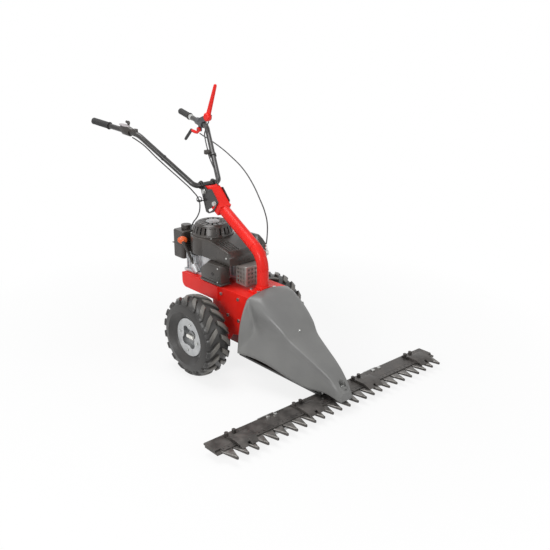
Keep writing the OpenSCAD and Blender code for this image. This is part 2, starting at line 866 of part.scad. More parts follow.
module knife() {
    half = (tooth_count - 1) / 2 * tooth_pitch + tooth_pitch * 0.38;
    color("#5b5a58") {
        translate([0, 0, knife_z]) linear_extrude(knife_t)
            tooth_row(tooth_pitch * 0.46, 4, knife_rear, knife_rear + knife_back_w, tip_reach - 4);
        box([-half, -knife_rear - knife_back_w, knife_back_z + seam],
            [half, -knife_rear, knife_back_z + knife_back_t]);
    }
}

module knife_clips() {
    step = knife_back_z + knife_back_t + passing - plate_top;
    foot = knife_rear + knife_back_w + 1;
    color("#343332") difference() {
        clip_places() {
            box([-clip_short, -plate_front, plate_top], [clip_long, -bar_back - 6, plate_top + clip_t]);
            box([-clip_short, -foot - 8, plate_top + step],
                [clip_long, 1 - plate_front, plate_top + step + clip_t]);
            for (x = [-clip_short, clip_long - 18])
                box([x, -foot - 8, knife_back_z + passing], [x + 18, -foot, plate_top + step + 1]);
        }
        bar_holes();
    }
}

// A skid shoe: a strip bolted under the bar, bowed down to the ground
module skid_shoes() {
    rear = bar_back - 26;
    front = finger_root + 8;
    color("#aeb0b2") difference() {
        for (side = [-1, 1]) translate([side * skid_out, 0, 0]) side_plate(-skid_w / 2, skid_w / 2) polygon([
            [-rear, bar_base], [-bar_back - 34, bar_base], [-bar_back - 34, bar_base - skid_t],
            [-bar_back - 4, bar_base - skid_t], [-bar_back - 26, skid_t], [20 - front, skid_t],
            [-front, bar_base], [-front - 5, bar_base], [16 - front, 0],
            [-bar_back - 30, 0], [-bar_back + 4, bar_base - skid_t], [-rear, bar_base - skid_t]]);
        skid_bolt_places() translate([0, 0, bar_base - skid_t - 1]) cylinder(r = m10 + hole_gap, h = 20);
    }
}

module bar_carrier() {
    half = carrier_w / 2;
    leg_t = 6;
    leg_half = knife_half_stroke + rocker_nose_r + leg_room + leg_t;
    leg_rear = carrier_front - 30;
    leg_front = carrier_front - 6;
    color("#4a4c4e") difference() {
        union() {
            box([-half, -carrier_front, plate_top], [half, -carrier_rear, plate_top + carrier_t]);
            both_sides() box([half - carrier_wall, -case_front, plate_top], [half, -carrier_rear, case_base]);
            translate([0, -rocker_pivot_front, plate_top + 1]) {
                cylinder(r = pivot_pin_r, h = rocker_z + rocker_t + 4 - plate_top - 1);
                cylinder(r = pivot_pin_r + 6, h = rocker_z - 0.3 - plate_top - 1);
            }
            both_sides() box([leg_half - leg_t, -leg_front, plate_top],
                [leg_half, -leg_rear, tongue_z + tongue_t]);
            box([-leg_half, -leg_front, tongue_z], [leg_half, -leg_rear, tongue_z + tongue_t]);
            box([-nose_boss_r + 3, -nose_front, tongue_z],
                [nose_boss_r - 3, -leg_rear, tongue_z + tongue_t]);
            translate([0, -nose_front, tongue_z]) cylinder(r = nose_boss_r - 3, h = tongue_t);
        }
        carrier_bolt_places() cylinder(r = m10 + hole_gap, h = tongue_z - 10);
        translate([0, -nose_front, tongue_z - 1]) cylinder(r = m10 + hole_gap, h = tongue_t + 2);
    }
}

// The nose cover is lofted through its sections; each has five points a side and one on the crown
cover_points = 11;
cover_rear = deck_front + 0.3;
cover_front = tip_reach - 22;
cover_proud = 21;
function cover_y(c) = -cover_rear - (cover_front - cover_rear) * c[0] / 100;
// Heights follow the deck at the rear edge and keep their place at the nose
function cover_z(c, z) = z + (deck_h + cover_proud - cover_sections[0][1]) * (1 - c[0] / 100);
function cover_half_ring(c, inset) = [
    [c[2] - inset / 2, cover_z(c, c[3]) - inset], [c[4] - inset, cover_z(c, c[5]) - inset / 2],
    [c[6] - inset, cover_z(c, c[7]) - inset / 3], [c[8] - inset, cover_z(c, c[9]) - inset / 3],
    [c[10] - inset, cover_z(c, c[11])]];
function cover_ring(c, inset) = let (y = cover_y(c), half = cover_half_ring(c, inset)) [
    for (i = [4, 3, 2, 1, 0]) [-half[i][0], y, half[i][1]],
    [0, y, cover_z(c, c[1]) - inset],
    for (i = [0, 1, 2, 3, 4]) [half[i][0], y, half[i][1]]];
function pull_back(ring, d) = [for (p = ring) [p[0], p[1] + d, p[2]]];

module cover_shell() {
    n = len(cover_sections);
    m = cover_points;
    outer = [for (c = cover_sections) each cover_ring(c, 0)];
    inner = [for (i = [0 : n - 1])
        each pull_back(cover_ring(cover_sections[i], cover_t), i == n - 1 ? cover_t : 0)];
    b = n * m;
    last = (n - 1) * m;
    skin = [for (i = [0 : n - 2], k = [0 : m - 2]) let (a = i * m + k)
        each [[a, a + 1, a + m + 1], [a, a + m + 1, a + m],
            [b + a, b + a + m + 1, b + a + 1], [b + a, b + a + m, b + a + m + 1]]];
    nose = [for (k = [1 : m - 2]) each [
        [last, last + k, last + k + 1], [b + last, b + last + k + 1, b + last + k]]];
    rear = [for (k = [0 : m - 2]) each [[k, b + k, b + k + 1], [k, b + k + 1, k + 1]]];
    left = [for (i = [0 : n - 2]) let (a = i * m) each [[a, a + m, b + a + m], [a, b + a + m, b + a]]];
    right = [for (i = [0 : n - 2]) let (a = i * m + m - 1)
        each [[a, b + a + m, a + m], [a, b + a, b + a + m]]];
    front = [[last, last + m - 1, b + last + m - 1], [last, b + last + m - 1, b + last]];
    polyhedron(concat(outer, inner), concat(skin, nose, rear, left, right, front));
}

module nose_cover() {
    color("#7f8080") {
        difference() {
            cover_shell();
            translate([0, -nose_front, tongue_z]) cylinder(r = nose_boss_r - 1, h = 80);
        }
        translate([0, -nose_front, tongue_z + tongue_t]) difference() {
            cylinder(r = nose_boss_r, h = 16);
            translate([0, 0, cover_t]) cylinder(r = nose_boss_r - 4, h = 16);
            translate([0, 0, -1]) cylinder(r = m10 + hole_gap, h = 16);
        }
    }
}

// Deck, column and their bolts

function deck_bolt_places() = [
    [-15, deck_h - 32], [-140, deck_h - 26], [-64, deck_h - 124], [-142, deck_h - 130]];

module engine_deck() {
    half = deck_w / 2;
    cheek = cheek_w / 2;
    color("#d8271f") {
        difference() {
            union() {
                box([-half, 0, deck_under], [half, deck_rear, deck_h]);
                box([-cheek, -deck_front, deck_under], [cheek, 1, deck_h]);
                both_sides() {
                    box([cheek - sheet, 0, deck_h - rim_drop], [half, sheet, deck_h]);
                    side_plate(cheek - sheet - 0.01, cheek) polygon([
                        [cheek_rear, deck_h - 1], [cheek_rear, deck_h - rim_drop],
                        [20, deck_h - rim_drop - 4], [-38, deck_h - skirt_drop],
                        [-deck_front, deck_h - skirt_front_drop],
                        [-deck_front, deck_h - 1]]);
                    side_plate(cheek_in, cheek - sheet) polygon([
                        [cheek_rear, deck_h - 1], [cheek_rear, cheek_low + 20], [cheek_rear - 20, cheek_low],
                        [-55, cheek_low], [-90, cheek_front_low], [-deck_front, cheek_front_low + 30],
                        [-deck_front, deck_h - 1]]);
                    side_plate(half - sheet, half) {
                        translate([0, deck_h - rim_drop]) square([deck_rear - 30, rim_drop]);
                        translate([0, deck_h - rim_drop + 30]) square([deck_rear, rim_drop - 30]);
                        translate([deck_rear - 30, deck_h - rim_drop + 30]) circle(30);
                    }
                }
                box([-half, deck_rear - sheet, deck_h - rim_drop + 30], [half, deck_rear, deck_h]);
                box([-cheek, -deck_front, deck_h - 80], [cheek, sheet - deck_front, deck_h]);
                box([-60, -deck_front - 24, deck_h - 24], [60, 1 - deck_front, deck_h - 24 + sheet]);
                translate([idler_x, idler_back, idler_arm_z])
                    cylinder(r = idler_boss_r, h = deck_h - 1 - idler_arm_z);
                translate([idler_x, idler_back, idler_arm_z + idler_arm_t + 0.3])
                    cylinder(r = idler_boss_r + 5, h = deck_h - 1.3 - idler_arm_z - idler_arm_t);
            }
            translate([0, engine_back, deck_under - 1]) cylinder(r = deck_hole_r, h = sheet + 2);
            both_sides() {
                rod_x(cheek_in - 1, cheek + 1, 0, axle_z, axle_tube_r + 0.3);
                for (p = deck_bolt_places()) rod_x(cheek_in - 1, cheek + 1, p[0], p[1], m10 + hole_gap);
            }
            base_bolt_places() translate([0, 0, deck_under - 1]) cylinder(r = m10 + hole_gap, h = sheet + 2);
            engine_bolt_places() translate([0, 0, deck_under - 1])
                cylinder(r = m10 + hole_gap, h = sheet + 2);
        }
    }
}

module base_bolt_places() {
    for (x = [-48, 48], y = [-24, 24]) translate([x, y - column_front, 0]) children();
}

module engine_bolt_places() {
    for (i = [0 : 3]) translate([0, engine_back, 0]) rotate(45 + 90 * i) translate([84, 0, 0]) children();
}

column_corner = [0, -column_front, column_corner_h];
slope_dir = [0, cos(column_slope), sin(column_slope)];
pivot = [0, pivot_back, pivot_h];
slot_bolt = pivot + slot_r * [0, cos(slot_angle), sin(slot_angle)];
head_end = (pivot - column_corner) * slope_dir + head_over;

// The column head's own frame: Y runs up the slope from the bend's corner
module on_slope() {
    translate(column_corner) rotate([column_slope, 0, 0]) children();
}

// Side view of the column's head in its own frame, a hollow box that rises towards the pivot
module head_outline(inset) {
    low = inset - head_below;
    polygon([
        [head_start + inset, low], [head_end - 36 + inset, low], [head_end + inset, head_above - 8],
        [head_end + inset, 40], [head_end - 30, head_crown - inset], [head_start + 16, head_above - inset],
        [head_start + inset, head_above - inset]]);
}

module column_head() {
    half = head_w / 2;
    difference() {
        on_slope() side_plate(-half, half) head_outline(0);
        on_slope() side_plate(sheet - half, half - sheet) head_outline(sheet);
        for (p = [pivot, slot_bolt]) rod_x(-half - 1, half + 1, p[1], p[2], pivot_r + hole_gap);
    }
}

module column_foot() {
    difference() {
        union() {
            slab([-60, -column_front - 36, deck_h], [60, -column_front + 36, deck_h + base_t], 8);
            translate([0, -column_front, deck_h + base_t - 1]) cylinder(r = column_r + 7, h = 15);
        }
        translate([0, -column_front, deck_h - 1]) cylinder(r = column_r - 1, h = base_t + 16);
        base_bolt_places() translate([0, 0, deck_h - 1]) cylinder(r = m10 + hole_gap, h = base_t + 2);
    }
}

module steering_column() {
    color("#d8271f") {
        column_foot();
        bent_tube([
            [0, -column_front, deck_h + 2], column_corner, column_corner + (head_start + 2) * slope_dir],
            [0, column_bend, 0], column_r, column_r - column_wall);
        column_head();
        rod_x(column_r - 6, column_r + 19, 22 - column_front, column_corner_h + 4, 10);
    }
}

module bracket_bolts() {
    reach = bracket_out + 0.3 + washer_t;
    for (p = [pivot, slot_bolt]) {
        rod_x(-reach, reach, p[1], p[2], pivot_r);
        both_sides() {
            rod_x(bracket_out + 0.3, reach, p[1], p[2], washer_r);
            translate([reach, p[1], p[2]]) rotate([0, 90, 0]) cylinder(r = 11, h = 8, $fn = 6);
        }
    }
}

module machine_bolts() {
    color("#b4b6b8") {
        bracket_bolts();
        clip_bolt_places() translate([0, 0, plate_top + clip_t]) bolt(m10, clip_t + plate_t, 14);
        skid_bolt_places() translate([0, 0, plate_top]) bolt(m10, plate_t + finger_t + skid_t, 6);
        carrier_bolt_places() translate([0, 0, plate_top + carrier_t]) bolt(m10, carrier_t + plate_t, 6);
        translate([0, -nose_front, tongue_z + tongue_t + cover_t]) bolt(m10, tongue_t + cover_t + 6, 7);
        base_bolt_places() translate([0, 0, deck_h + base_t]) bolt(m10, base_t + sheet, 6);
        engine_bolt_places() translate([0, 0, deck_h + 12]) bolt(m10, 12 + sheet, 6);
        both_sides() for (p = deck_bolt_places()) translate([cheek_w / 2, p[0], p[1]])
            rotate([0, 90, 0]) bolt(m10, 2 * sheet + 1.5, 6);
    }
}

// Engine

module crankcase() {
    color("#a7a9ab") difference() {
        union() {
            rod(oil_base - oil_boss_l * oil_axis, oil_base, oil_boss_r);
            translate([0, engine_back, deck_h]) cylinder(r = crank_base_r, h = 12);
            translate([0, engine_back, deck_h + 11]) cylinder(r = crankcase_r, h = crankcase_h - 11);
            box([-50, bore_y, deck_h + 15], [50, engine_back, deck_h + crankcase_h - 2]);
            box([-crank_side, engine_back + 16, deck_h + 11],
                [-40, engine_back + 96, deck_h + crankcase_h - 2]);
        }
        rod(oil_base, oil_top, oil_r + running);
        translate([0, engine_back, deck_h - 1]) cylinder(r = crank_r + running, h = crankcase_h + 2);
        engine_bolt_places() translate([0, 0, deck_h - 1]) cylinder(r = m10 + hole_gap, h = 14);
        engine_bolt_places() translate([0, 0, deck_h + 12]) cylinder(r = m10 * 2, h = 30);
    }
}

module cylinder_block() {
    color("#9fa1a3") {
        box([-cyl_half, cyl_front, cyl_low + 6], [cyl_half, bore_y, cyl_high - 6]);
        for (y = [cyl_front + 6 : fin_pitch : bore_y - fin_t - 2])
            box([-fin_half, y, cyl_low], [fin_half, y + fin_t, cyl_high]);
    }
}

module valve_cover() {
    color("#8d8f92") {
        slab_front([-42, cyl_front, cyl_low + 10], [26, cyl_front, cyl_high - 10], 5, 0);
        slab_front([-37, cyl_front, cyl_low + 15], [21, cyl_front, cyl_high - 15], 28, 1);
    }
}

// A rounded slab whose thickness runs forward from its rear face
module slab_front(low, high, t, sunk) {
    translate([low[0], low[1] - sunk, low[2]]) rotate([90, 0, 0])
        slab([0, 0, 0], [high[0] - low[0], high[2] - low[2], t - sunk], 8);
}

module spark_plug_cap() {
    color("#222222") translate([-8, cyl_front - 28, deck_h + 58]) rotate([90, 0, 0]) {
        cylinder(r = 7, h = 14);
        translate([0, 0, 8]) cylinder(r = 5, h = 8);
    }
}

module carburettor() {
    color("#8b8e91") {
        box([-filter_in, cyl_front + 24, deck_h + 35], [-fin_half, cyl_front + 66, deck_h + 79]);
        translate([-filter_in + 9, cyl_front + 45, deck_h + 18]) cylinder(r = 8.5, h = 20);
    }
}

module air_filter_box() {
    color("#2f2e2d") {
        slab([-filter_out, filter_front, filter_z],
            [-filter_in, filter_front + filter_l, filter_z + filter_h - 14], 10);
        slab([5 - filter_out, filter_front + 5, filter_z],
            [-filter_in - 3, filter_front + filter_l - 5, filter_z + filter_h], 12);
    }
}

module muffler() {
    pipe_x = 40;
    color("#8e8a86") {
        slab([-45, muffler_front, deck_h + 20], [70, muffler_back, deck_h + 102], 12);
        rod([pipe_x, muffler_back - 5, deck_h + 50], [pipe_x, cyl_front, deck_h + 50], 9);
    }
}

module muffler_guard() {
    x1 = -54;
    x2 = 79;
    z1 = deck_h + 14;
    z2 = deck_h + 104;
    sheet_t = 1.5;
    off = 8;
    y = muffler_front - off;
    color("#4a4846") difference() {
        union() {
            box([x1, y - sheet_t, z1], [x2, y, z2]);
            box([x1, y - sheet_t, z1], [x1 + sheet_t, muffler_back, z2]);
            for (x = [-20, 45]) rod([x, y - 0.5, deck_h + 61], [x, muffler_front, deck_h + 61], 5);
        }
        for (i = [0 : 5], k = [0 : 3]) translate([x1 + 17 + 20 * i, y + 1, z1 + 17 + 20 * k])
            rotate([90, 0, 0]) cylinder(r = 6, h = sheet_t + 2);
        for (i = [0 : 2], k = [0 : 3])
            rod_x(x1 - 1, x1 + sheet_t + 1, muffler_front + 8 + 20 * i, z1 + 17 + 20 * k, 6);
    }
}

// Plan of the blower housing: round at the flywheel, square over the cylinder
module blower_plan(inset) {
    translate([0, engine_back]) circle(blower_r - inset, $fn = 96);
    translate([-blower_half + inset, blower_front + inset])
        square([2 * (blower_half - inset), engine_back - blower_front - inset]);
}

// Side view of the blower housing's roof, which falls towards the front
module blower_side(inset) {
    rear = engine_back + blower_r + 1;
    polygon([[rear, blower_z - 1 - inset], [rear, blower_roof - inset],
        [engine_back - 104, blower_roof - inset], [blower_front + 20, blower_roof - 26 - inset],
        [blower_front - 1, blower_roof - 48 - inset], [blower_front - 1, blower_z - 1 - inset]]);
}

module blower_solid(inset) {
    intersection() {
        translate([0, 0, blower_z - inset]) linear_extrude(blower_roof - blower_z) blower_plan(inset);
        side_plate(-blower_r, blower_r) blower_side(inset);
    }
}

// A duct on the housing's left side, a little higher than its roof and open below
module blower_duct(inset) {
    front = blower_front + 8 + inset;
    side_plate(blower_half - 1 + inset, duct_out - inset) polygon([
        [duct_rear - inset, blower_z - inset], [duct_rear - inset, blower_roof + 8 - inset],
        [0, blower_roof + 12 - inset], [front + 22, blower_roof - 4 - inset],
        [front, blower_roof - 24 - inset], [front, blower_z - inset]]);
}

module blower_housing() {
    color("#2a2928") {
        difference() {
            blower_duct(0);
            blower_duct(blower_wall);
        }
        difference() {
            blower_solid(0);
            blower_solid(blower_wall);
            translate([0, engine_back, blower_z]) cylinder(r = recoil_d / 2 - 12, h = blower_roof);
        }
        for (x = [-38, 38]) translate([x, cyl_front + 60, cyl_high])
            cylinder(r = 8, h = blower_roof - 4 - cyl_high);
    }
}

module recoil_profile(inset) {
    r = recoil_d / 2 - inset;
    polygon([[0, -inset], [r, -inset], [r, 5 - inset], [r - 3, 8 - inset], [r - 6, recoil_h * 0.45 - inset],
        [r - 16, recoil_h - 7 - inset], [r - 26, recoil_h - inset], [0, recoil_h - inset]]);
}

module recoil_cover() {
    wall_slots = 24;
    top_slots = 14;
    color("#262524") translate([0, engine_back, recoil_z]) {
        difference() {
            union() {
                difference() {
                    rotate_extrude($fn = 96) recoil_profile(0);
                    rotate_extrude($fn = 96) recoil_profile(3);
                }
                rod([rope_x, rope_guide_end - engine_back - 30, rope_z - recoil_z],
                    [rope_x, rope_guide_end - engine_back, rope_z - recoil_z], 10);
            }
            for (i = [0 : wall_slots - 1]) if (i != 3 && i != 4) rotate(360 * i / wall_slots)
                box([recoil_d / 2 - 30, -4, 12], [recoil_d / 2 + 5, 4, recoil_h - 14]);
            for (i = [0 : top_slots - 1]) rotate(360 * i / top_slots)
                box([34, -4, recoil_h - 8], [recoil_d / 2 - 34, 4, recoil_h + 5]);
            rod([rope_x, 20, rope_z - recoil_z], [rope_x, rope_guide_end, rope_z - recoil_z], 4);
        }
    }
}

module starter_handle() {
    color("#1f1f1f") {
        rod([rope_x, engine_back - 40, rope_z], [rope_x, rope_guide_end + 8, rope_z], 2.5);
        rod([rope_x, rope_guide_end + 0.3, rope_z], [rope_x, rope_guide_end + 16, rope_z], 9);
        rod([rope_x - 42, rope_guide_end + 20, rope_z], [rope_x + 42, rope_guide_end + 20, rope_z], 9);
    }
}

tank_mouth = [cap_x, tank_front + tank_l / 2, tank_z + tank_h];
neck_h = 8;

module fuel_tank() {
    wall = 4;
    low = [-tank_w / 2, tank_front, tank_z];
    high = [tank_w / 2, tank_front + tank_l, tank_z + tank_h];
    color("#232222") difference() {
        union() {
            slab(low, high, 16);
            translate(tank_mouth - [0, 0, 1]) cylinder(r = neck_r, h = neck_h + 1);
        }
        slab(low + [wall, wall, wall], high - [wall, wall, wall], 12);
        translate(tank_mouth - [0, 0, 20]) cylinder(r = neck_r - 4, h = 40);
    }
}

module fuel_cap() {
    color("#1c1b1b") translate(tank_mouth) difference() {
        translate([0, 0, 0.3]) cylinder(r = cap_r, h = 22);
        translate([0, 0, -1]) cylinder(r = neck_r + running, h = neck_h + 1.3);
    }
}

module oil_filler_tube() {
    color("#2b2a2a") difference() {
        rod(oil_base, oil_top, oil_r);
        rod(oil_base - oil_axis, oil_top + oil_axis, oil_bore);
    }
}

module oil_dipstick() {
    color("#e8622a") {
        rod(oil_top + 0.3 * oil_axis, oil_top + 20 * oil_axis, 15);
        rod(oil_top - 12 * oil_axis, oil_top + 4 * oil_axis, oil_bore - running);
        rod(oil_top - 80 * oil_axis, oil_top, 2.5);
    }
}

module crankshaft() {
    color("#9b9da0") translate([0, engine_back, belt_z - pulley_w / 2 - 6])
        cylinder(r = crank_r, h = blower_z + 66 - belt_z + pulley_w / 2);
}

module flywheel_fan() {
    blades = 16;
    z = blower_z + 16;
    color("#808386") translate([0, engine_back, z]) {
        difference() {
            cylinder(r = flywheel_r, h = 12);
            translate([0, 0, -1]) cylinder(r = crank_r + seat, h = 14);
        }
        for (i = [0 : blades - 1]) rotate(360 * i / blades) box([44, -1.5, 11], [flywheel_r - 3, 1.5, 34]);
    }
}

// Handlebar

module bracket_plate() {
    difference() {
        union() {
            polygon([for (p = [[27, 4], [-8, -96], [-31, -101], [-68, -87], [-106, -34], [-55, 22]])
                [pivot_back + p[0], pivot_h + p[1]]]);
            translate([cross_back, cross_h]) circle(tube_r + 9);
            translate([pivot_back, pivot_h]) circle(26);
        }
        translate([pivot_back, pivot_h]) circle(pivot_r + running);
        translate([cross_back, cross_h]) circle(tube_r + seat);
        translate([pivot_back, pivot_h]) {
            intersection() {
                difference() {
                    circle(slot_r + pivot_r + 0.4);
                    circle(slot_r - pivot_r - 0.4);
                }
                polygon([[0, 0], for (a = [slot_angle : 7 : slot_end]) 140 * [cos(a), sin(a)],
                    140 * [cos(slot_end), sin(slot_end)]]);
            }
            for (a = [slot_angle, slot_end]) rotate(a) translate([slot_r, 0]) circle(pivot_r + 0.4);
        }
    }
}

module handlebar_bracket() {
    ring_place = [-52, pivot_back + 18, pivot_h - 45];
    color("#242322") {
        both_sides() side_plate(bracket_in, bracket_out) bracket_plate();
        translate(ring_place) rotate_extrude() translate([12, 0]) circle(2.5);
        rod(ring_place + [11, -2, 0], [1 - bracket_out, pivot_back + 4, pivot_h - 45], 2.5);
    }
}

tube_right = [flip_x(tube_end), flip_x(arm_top), [-cross_half, cross_back, cross_h]];
tube_left = [[cross_half, cross_back, cross_h], arm_top, tube_end];

module handlebar_tube() {
    color("#262525") bent_tube(concat(tube_right, tube_left),
        [0, high_bend, low_bend, low_bend, high_bend, 0], tube_r, tube_r - tube_wall);
}

module collar(a, b, r_out) {
    difference() {
        rod(a, b, r_out);
        rod(a - (b - a), b + (b - a), tube_r + seat);
    }
}

// Two collars hold the tube in the bracket; a cable clip sits on each arm
module tube_clamps() {
    arm_low = [cross_half, cross_back, cross_h];
    arm_dir = unit(arm_top - arm_low);
    clip_left = arm_low + 165 * arm_dir;
    clip_right = flip_x(arm_low + 200 * arm_dir);
    color("#1e1e1e") {
        both_sides() difference() {
            rod_x(bracket_out, bracket_out + clamp_w, cross_back, cross_h, clamp_r);
            rod_x(bracket_in, bracket_out + clamp_w + 1, cross_back, cross_h, tube_r + seat);
        }
        difference() {
            union() {
                rod(clip_left, clip_left + 14 * arm_dir, tube_r + 4);
                translate(clip_left + 7 * arm_dir) rod([0, 0, 0], [-18, 6, 5], 6);
            }
            rod(clip_left - 30 * arm_dir, clip_left + 40 * arm_dir, tube_r + seat);
        }
        collar(clip_right, clip_right + 10 * flip_x(arm_dir), tube_r + 2);
    }
}

module grip_body() {
    end = tube_end + grip_end_t * grip_dir;
    start = end - grip_l * grip_dir;
    difference() {
        union() {
            rod(start, end, grip_d / 2 - 2);
            for (i = [0 : 7])
                rod(start + (14 + 14 * i) * grip_dir, start + (21 + 14 * i) * grip_dir, grip_d / 2 - 0.5);
            rod(start, start + 6 * grip_dir, grip_d / 2 + 3);
            rod(end - 5 * grip_dir, end, grip_d / 2);
        }
        rod(start - grip_dir, tube_end + 0.05 * grip_dir, tube_r + seat);
    }
}

module handle_grips() {
    color("#2d2c2c") both_sides() grip_body();
}

module throttle_body() {
    a = arm_top + throttle_start * grip_dir;
    b = a + throttle_l * grip_dir;
    color("#3b3a3a") on_side(-1) difference() {
        union() {
            rod(a, b, tube_r + 6);
            side_plate(throttle_pivot[0] - 15, throttle_pivot[0] + 4) polygon([
                [a[1] + 3, a[2]], [b[1] - 3, b[2]], [b[1] - 3, throttle_pivot[2] + 2],
                [b[1] - 14, throttle_pivot[2] + 12], [a[1] + 12, throttle_pivot[2] + 12],
                [a[1] + 3, throttle_pivot[2]]]);
            rod_x(throttle_pivot[0] + 3, throttle_pivot[0] + 14, throttle_pivot[1], throttle_pivot[2],
                lever_pin_r);
        }
        rod(a - 20 * grip_dir, b + 20 * grip_dir, tube_r + seat);
    }
}

module throttle_lever() {
    x = throttle_pivot[0] + 4.4;
    color("#191919") on_side(-1) difference() {
        union() {
            rod_x(x, x + 8, throttle_pivot[1], throttle_pivot[2], 11);
            side_plate(x, x + 8) polygon([
                [throttle_pivot[1] - 8, throttle_pivot[2]], [throttle_pivot[1] + 8, throttle_pivot[2]],
                [throttle_pivot[1] + 12, throttle_pivot[2] + 30],
                [throttle_pivot[1] + 2, throttle_pivot[2] + 30]]);
            rod_x(x - 3, x + 11, throttle_pivot[1] + 7, throttle_pivot[2] + 32, 7);
        }
        rod_x(x - 1, x + 9, throttle_pivot[1], throttle_pivot[2], lever_pin_r + running);
    }
}

// One block on the left arm carries both clutch levers
module lever_block() {
    a = arm_top + block_start * grip_dir;
    b = a + block_l * grip_dir;
    x = blade_pivot[0] + 8.4;
    color("#3a393a") difference() {
        union() {
            rod(a, b, block_r);
            side_plate(x, x + 10) polygon([
                [a[1] + 10, a[2] + 8], [a[1] + 44, a[2] + 8], [a[1] + 34, a[2] + 30],
                [blade_pivot[1] + 6, blade_pivot[2] + 16], [blade_pivot[1] - 12, blade_pivot[2] + 8],
                [blade_pivot[1] - 8, blade_pivot[2] - 14]]);
            rod_x(blade_pivot[0] - 9, x + 1, blade_pivot[1], blade_pivot[2], lever_pin_r);
            side_plate(drive_pivot[0] + 6.4, drive_pivot[0] + 14) polygon([
                [drive_pivot[1] - 16, drive_pivot[2] + 30], [drive_pivot[1] + 16, drive_pivot[2] + 30],
                [drive_pivot[1] + 10, drive_pivot[2] - 10], [drive_pivot[1] - 10, drive_pivot[2] - 10]]);
            rod_x(drive_pivot[0] - 7, drive_pivot[0] + 7, drive_pivot[1], drive_pivot[2], lever_pin_r);
        }
        rod(a - 20 * grip_dir, b + 20 * grip_dir, tube_r + seat);
    }
}

module blade_lever() {
    tip = blade_pivot + blade_lever_l * [0, -sin(blade_lean), cos(blade_lean)];
    along = [0, -sin(blade_lean), cos(blade_lean)];
    across = [0, cos(blade_lean), sin(blade_lean)];
    color("#c8201c") difference() {
        union() {
            rod_x(blade_pivot[0] - 8, blade_pivot[0] + 8, blade_pivot[1], blade_pivot[2], 19);
            side_plate(blade_pivot[0] - 5, blade_pivot[0] + 5) polygon([for (p = [
                blade_pivot - 15 * across, tip - 8 * across, tip + 8 * across, blade_pivot + 15 * across])
                [p[1], p[2]]]);
            rod_x(blade_pivot[0] - 5, blade_pivot[0] + 5, tip[1], tip[2], 8);
        }
        rod_x(blade_pivot[0] - 9, blade_pivot[0] + 9, blade_pivot[1], blade_pivot[2], lever_pin_r + running);
    }
}

module drive_lever() {
    knee = drive_pivot + [2, 52, -34];
    tip = drive_pivot + [4, 118, -84];
    color("#232222") difference() {
        union() {
            rod_x(drive_pivot[0] - 6, drive_pivot[0] + 6, drive_pivot[1], drive_pivot[2], 12);
            rod(drive_pivot + [0, 6, -4], knee, 5);
            rod(knee - 0.05 * (tip - knee), tip, 9);
        }
        rod_x(drive_pivot[0] - 8, drive_pivot[0] + 8, drive_pivot[1], drive_pivot[2], lever_pin_r + running);
    }
}

module throttle_cable() {
    color("#151515") cable(throttle_route);
}

module drive_cable() {
    color("#151515") cable(drive_route);
}

module blade_cable() {
    color("#151515") cable(blade_route);
}

from_axle() engine_deck();
from_axle() steering_column();
from_axle() gearbox_case();
from_axle() gearbox_cover();
from_axle() drive_bearings();
from_axle() crankcase();
from_axle() cylinder_block();  // cylinder
from_axle() valve_cover();
from_axle() blower_housing();
from_axle() recoil_cover();
from_axle() fuel_tank();
from_axle() fuel_cap();
from_axle() oil_filler_tube();
from_axle() oil_dipstick();
from_axle() air_filter_box();
from_axle() carburettor();
from_axle() muffler();
from_axle() muffler_guard();
from_axle() spark_plug_cap();
from_axle() drive_belt();
from_axle() bar_carrier();
from_axle() nose_cover();
from_axle() finger_bar();
from_axle() back_plate();
from_axle() knife_clips();
from_axle() skid_shoes();
from_axle() machine_bolts();
from_axle() throttle_cable();
from_axle() drive_cable();
from_axle() blade_cable();
from_axle() crankshaft();
from_axle() flywheel_fan();
from_axle() engine_pulley();
from_axle() worm_shaft();
from_axle() input_pulley();
from_axle() axle_shaft();
from_axle() worm_wheel();
from_axle() tyre(1);  // tyre_left
from_axle() tyre(-1);  // tyre_right
from_axle() rim(1);  // rim_left
from_axle() rim(-1);  // rim_right
from_axle() wheel_hubs();
from_axle() wheel_bolts();
from_axle() hub_lock(1);  // hub_lock_left
from_axle() hub_lock(-1);  // hub_lock_right
from_axle() idler_arm();
from_axle() idler_pulley();
from_axle() knife();
from_axle() knife_head();
from_axle() rocker_arm();
from_axle() handlebar_bracket();
from_axle() handlebar_tube();
from_axle() tube_clamps();
from_axle() handle_grips();
from_axle() throttle_body();
from_axle() throttle_lever();
from_axle() lever_block();
from_axle() blade_lever();
from_axle() drive_lever();
from_axle() starter_handle();
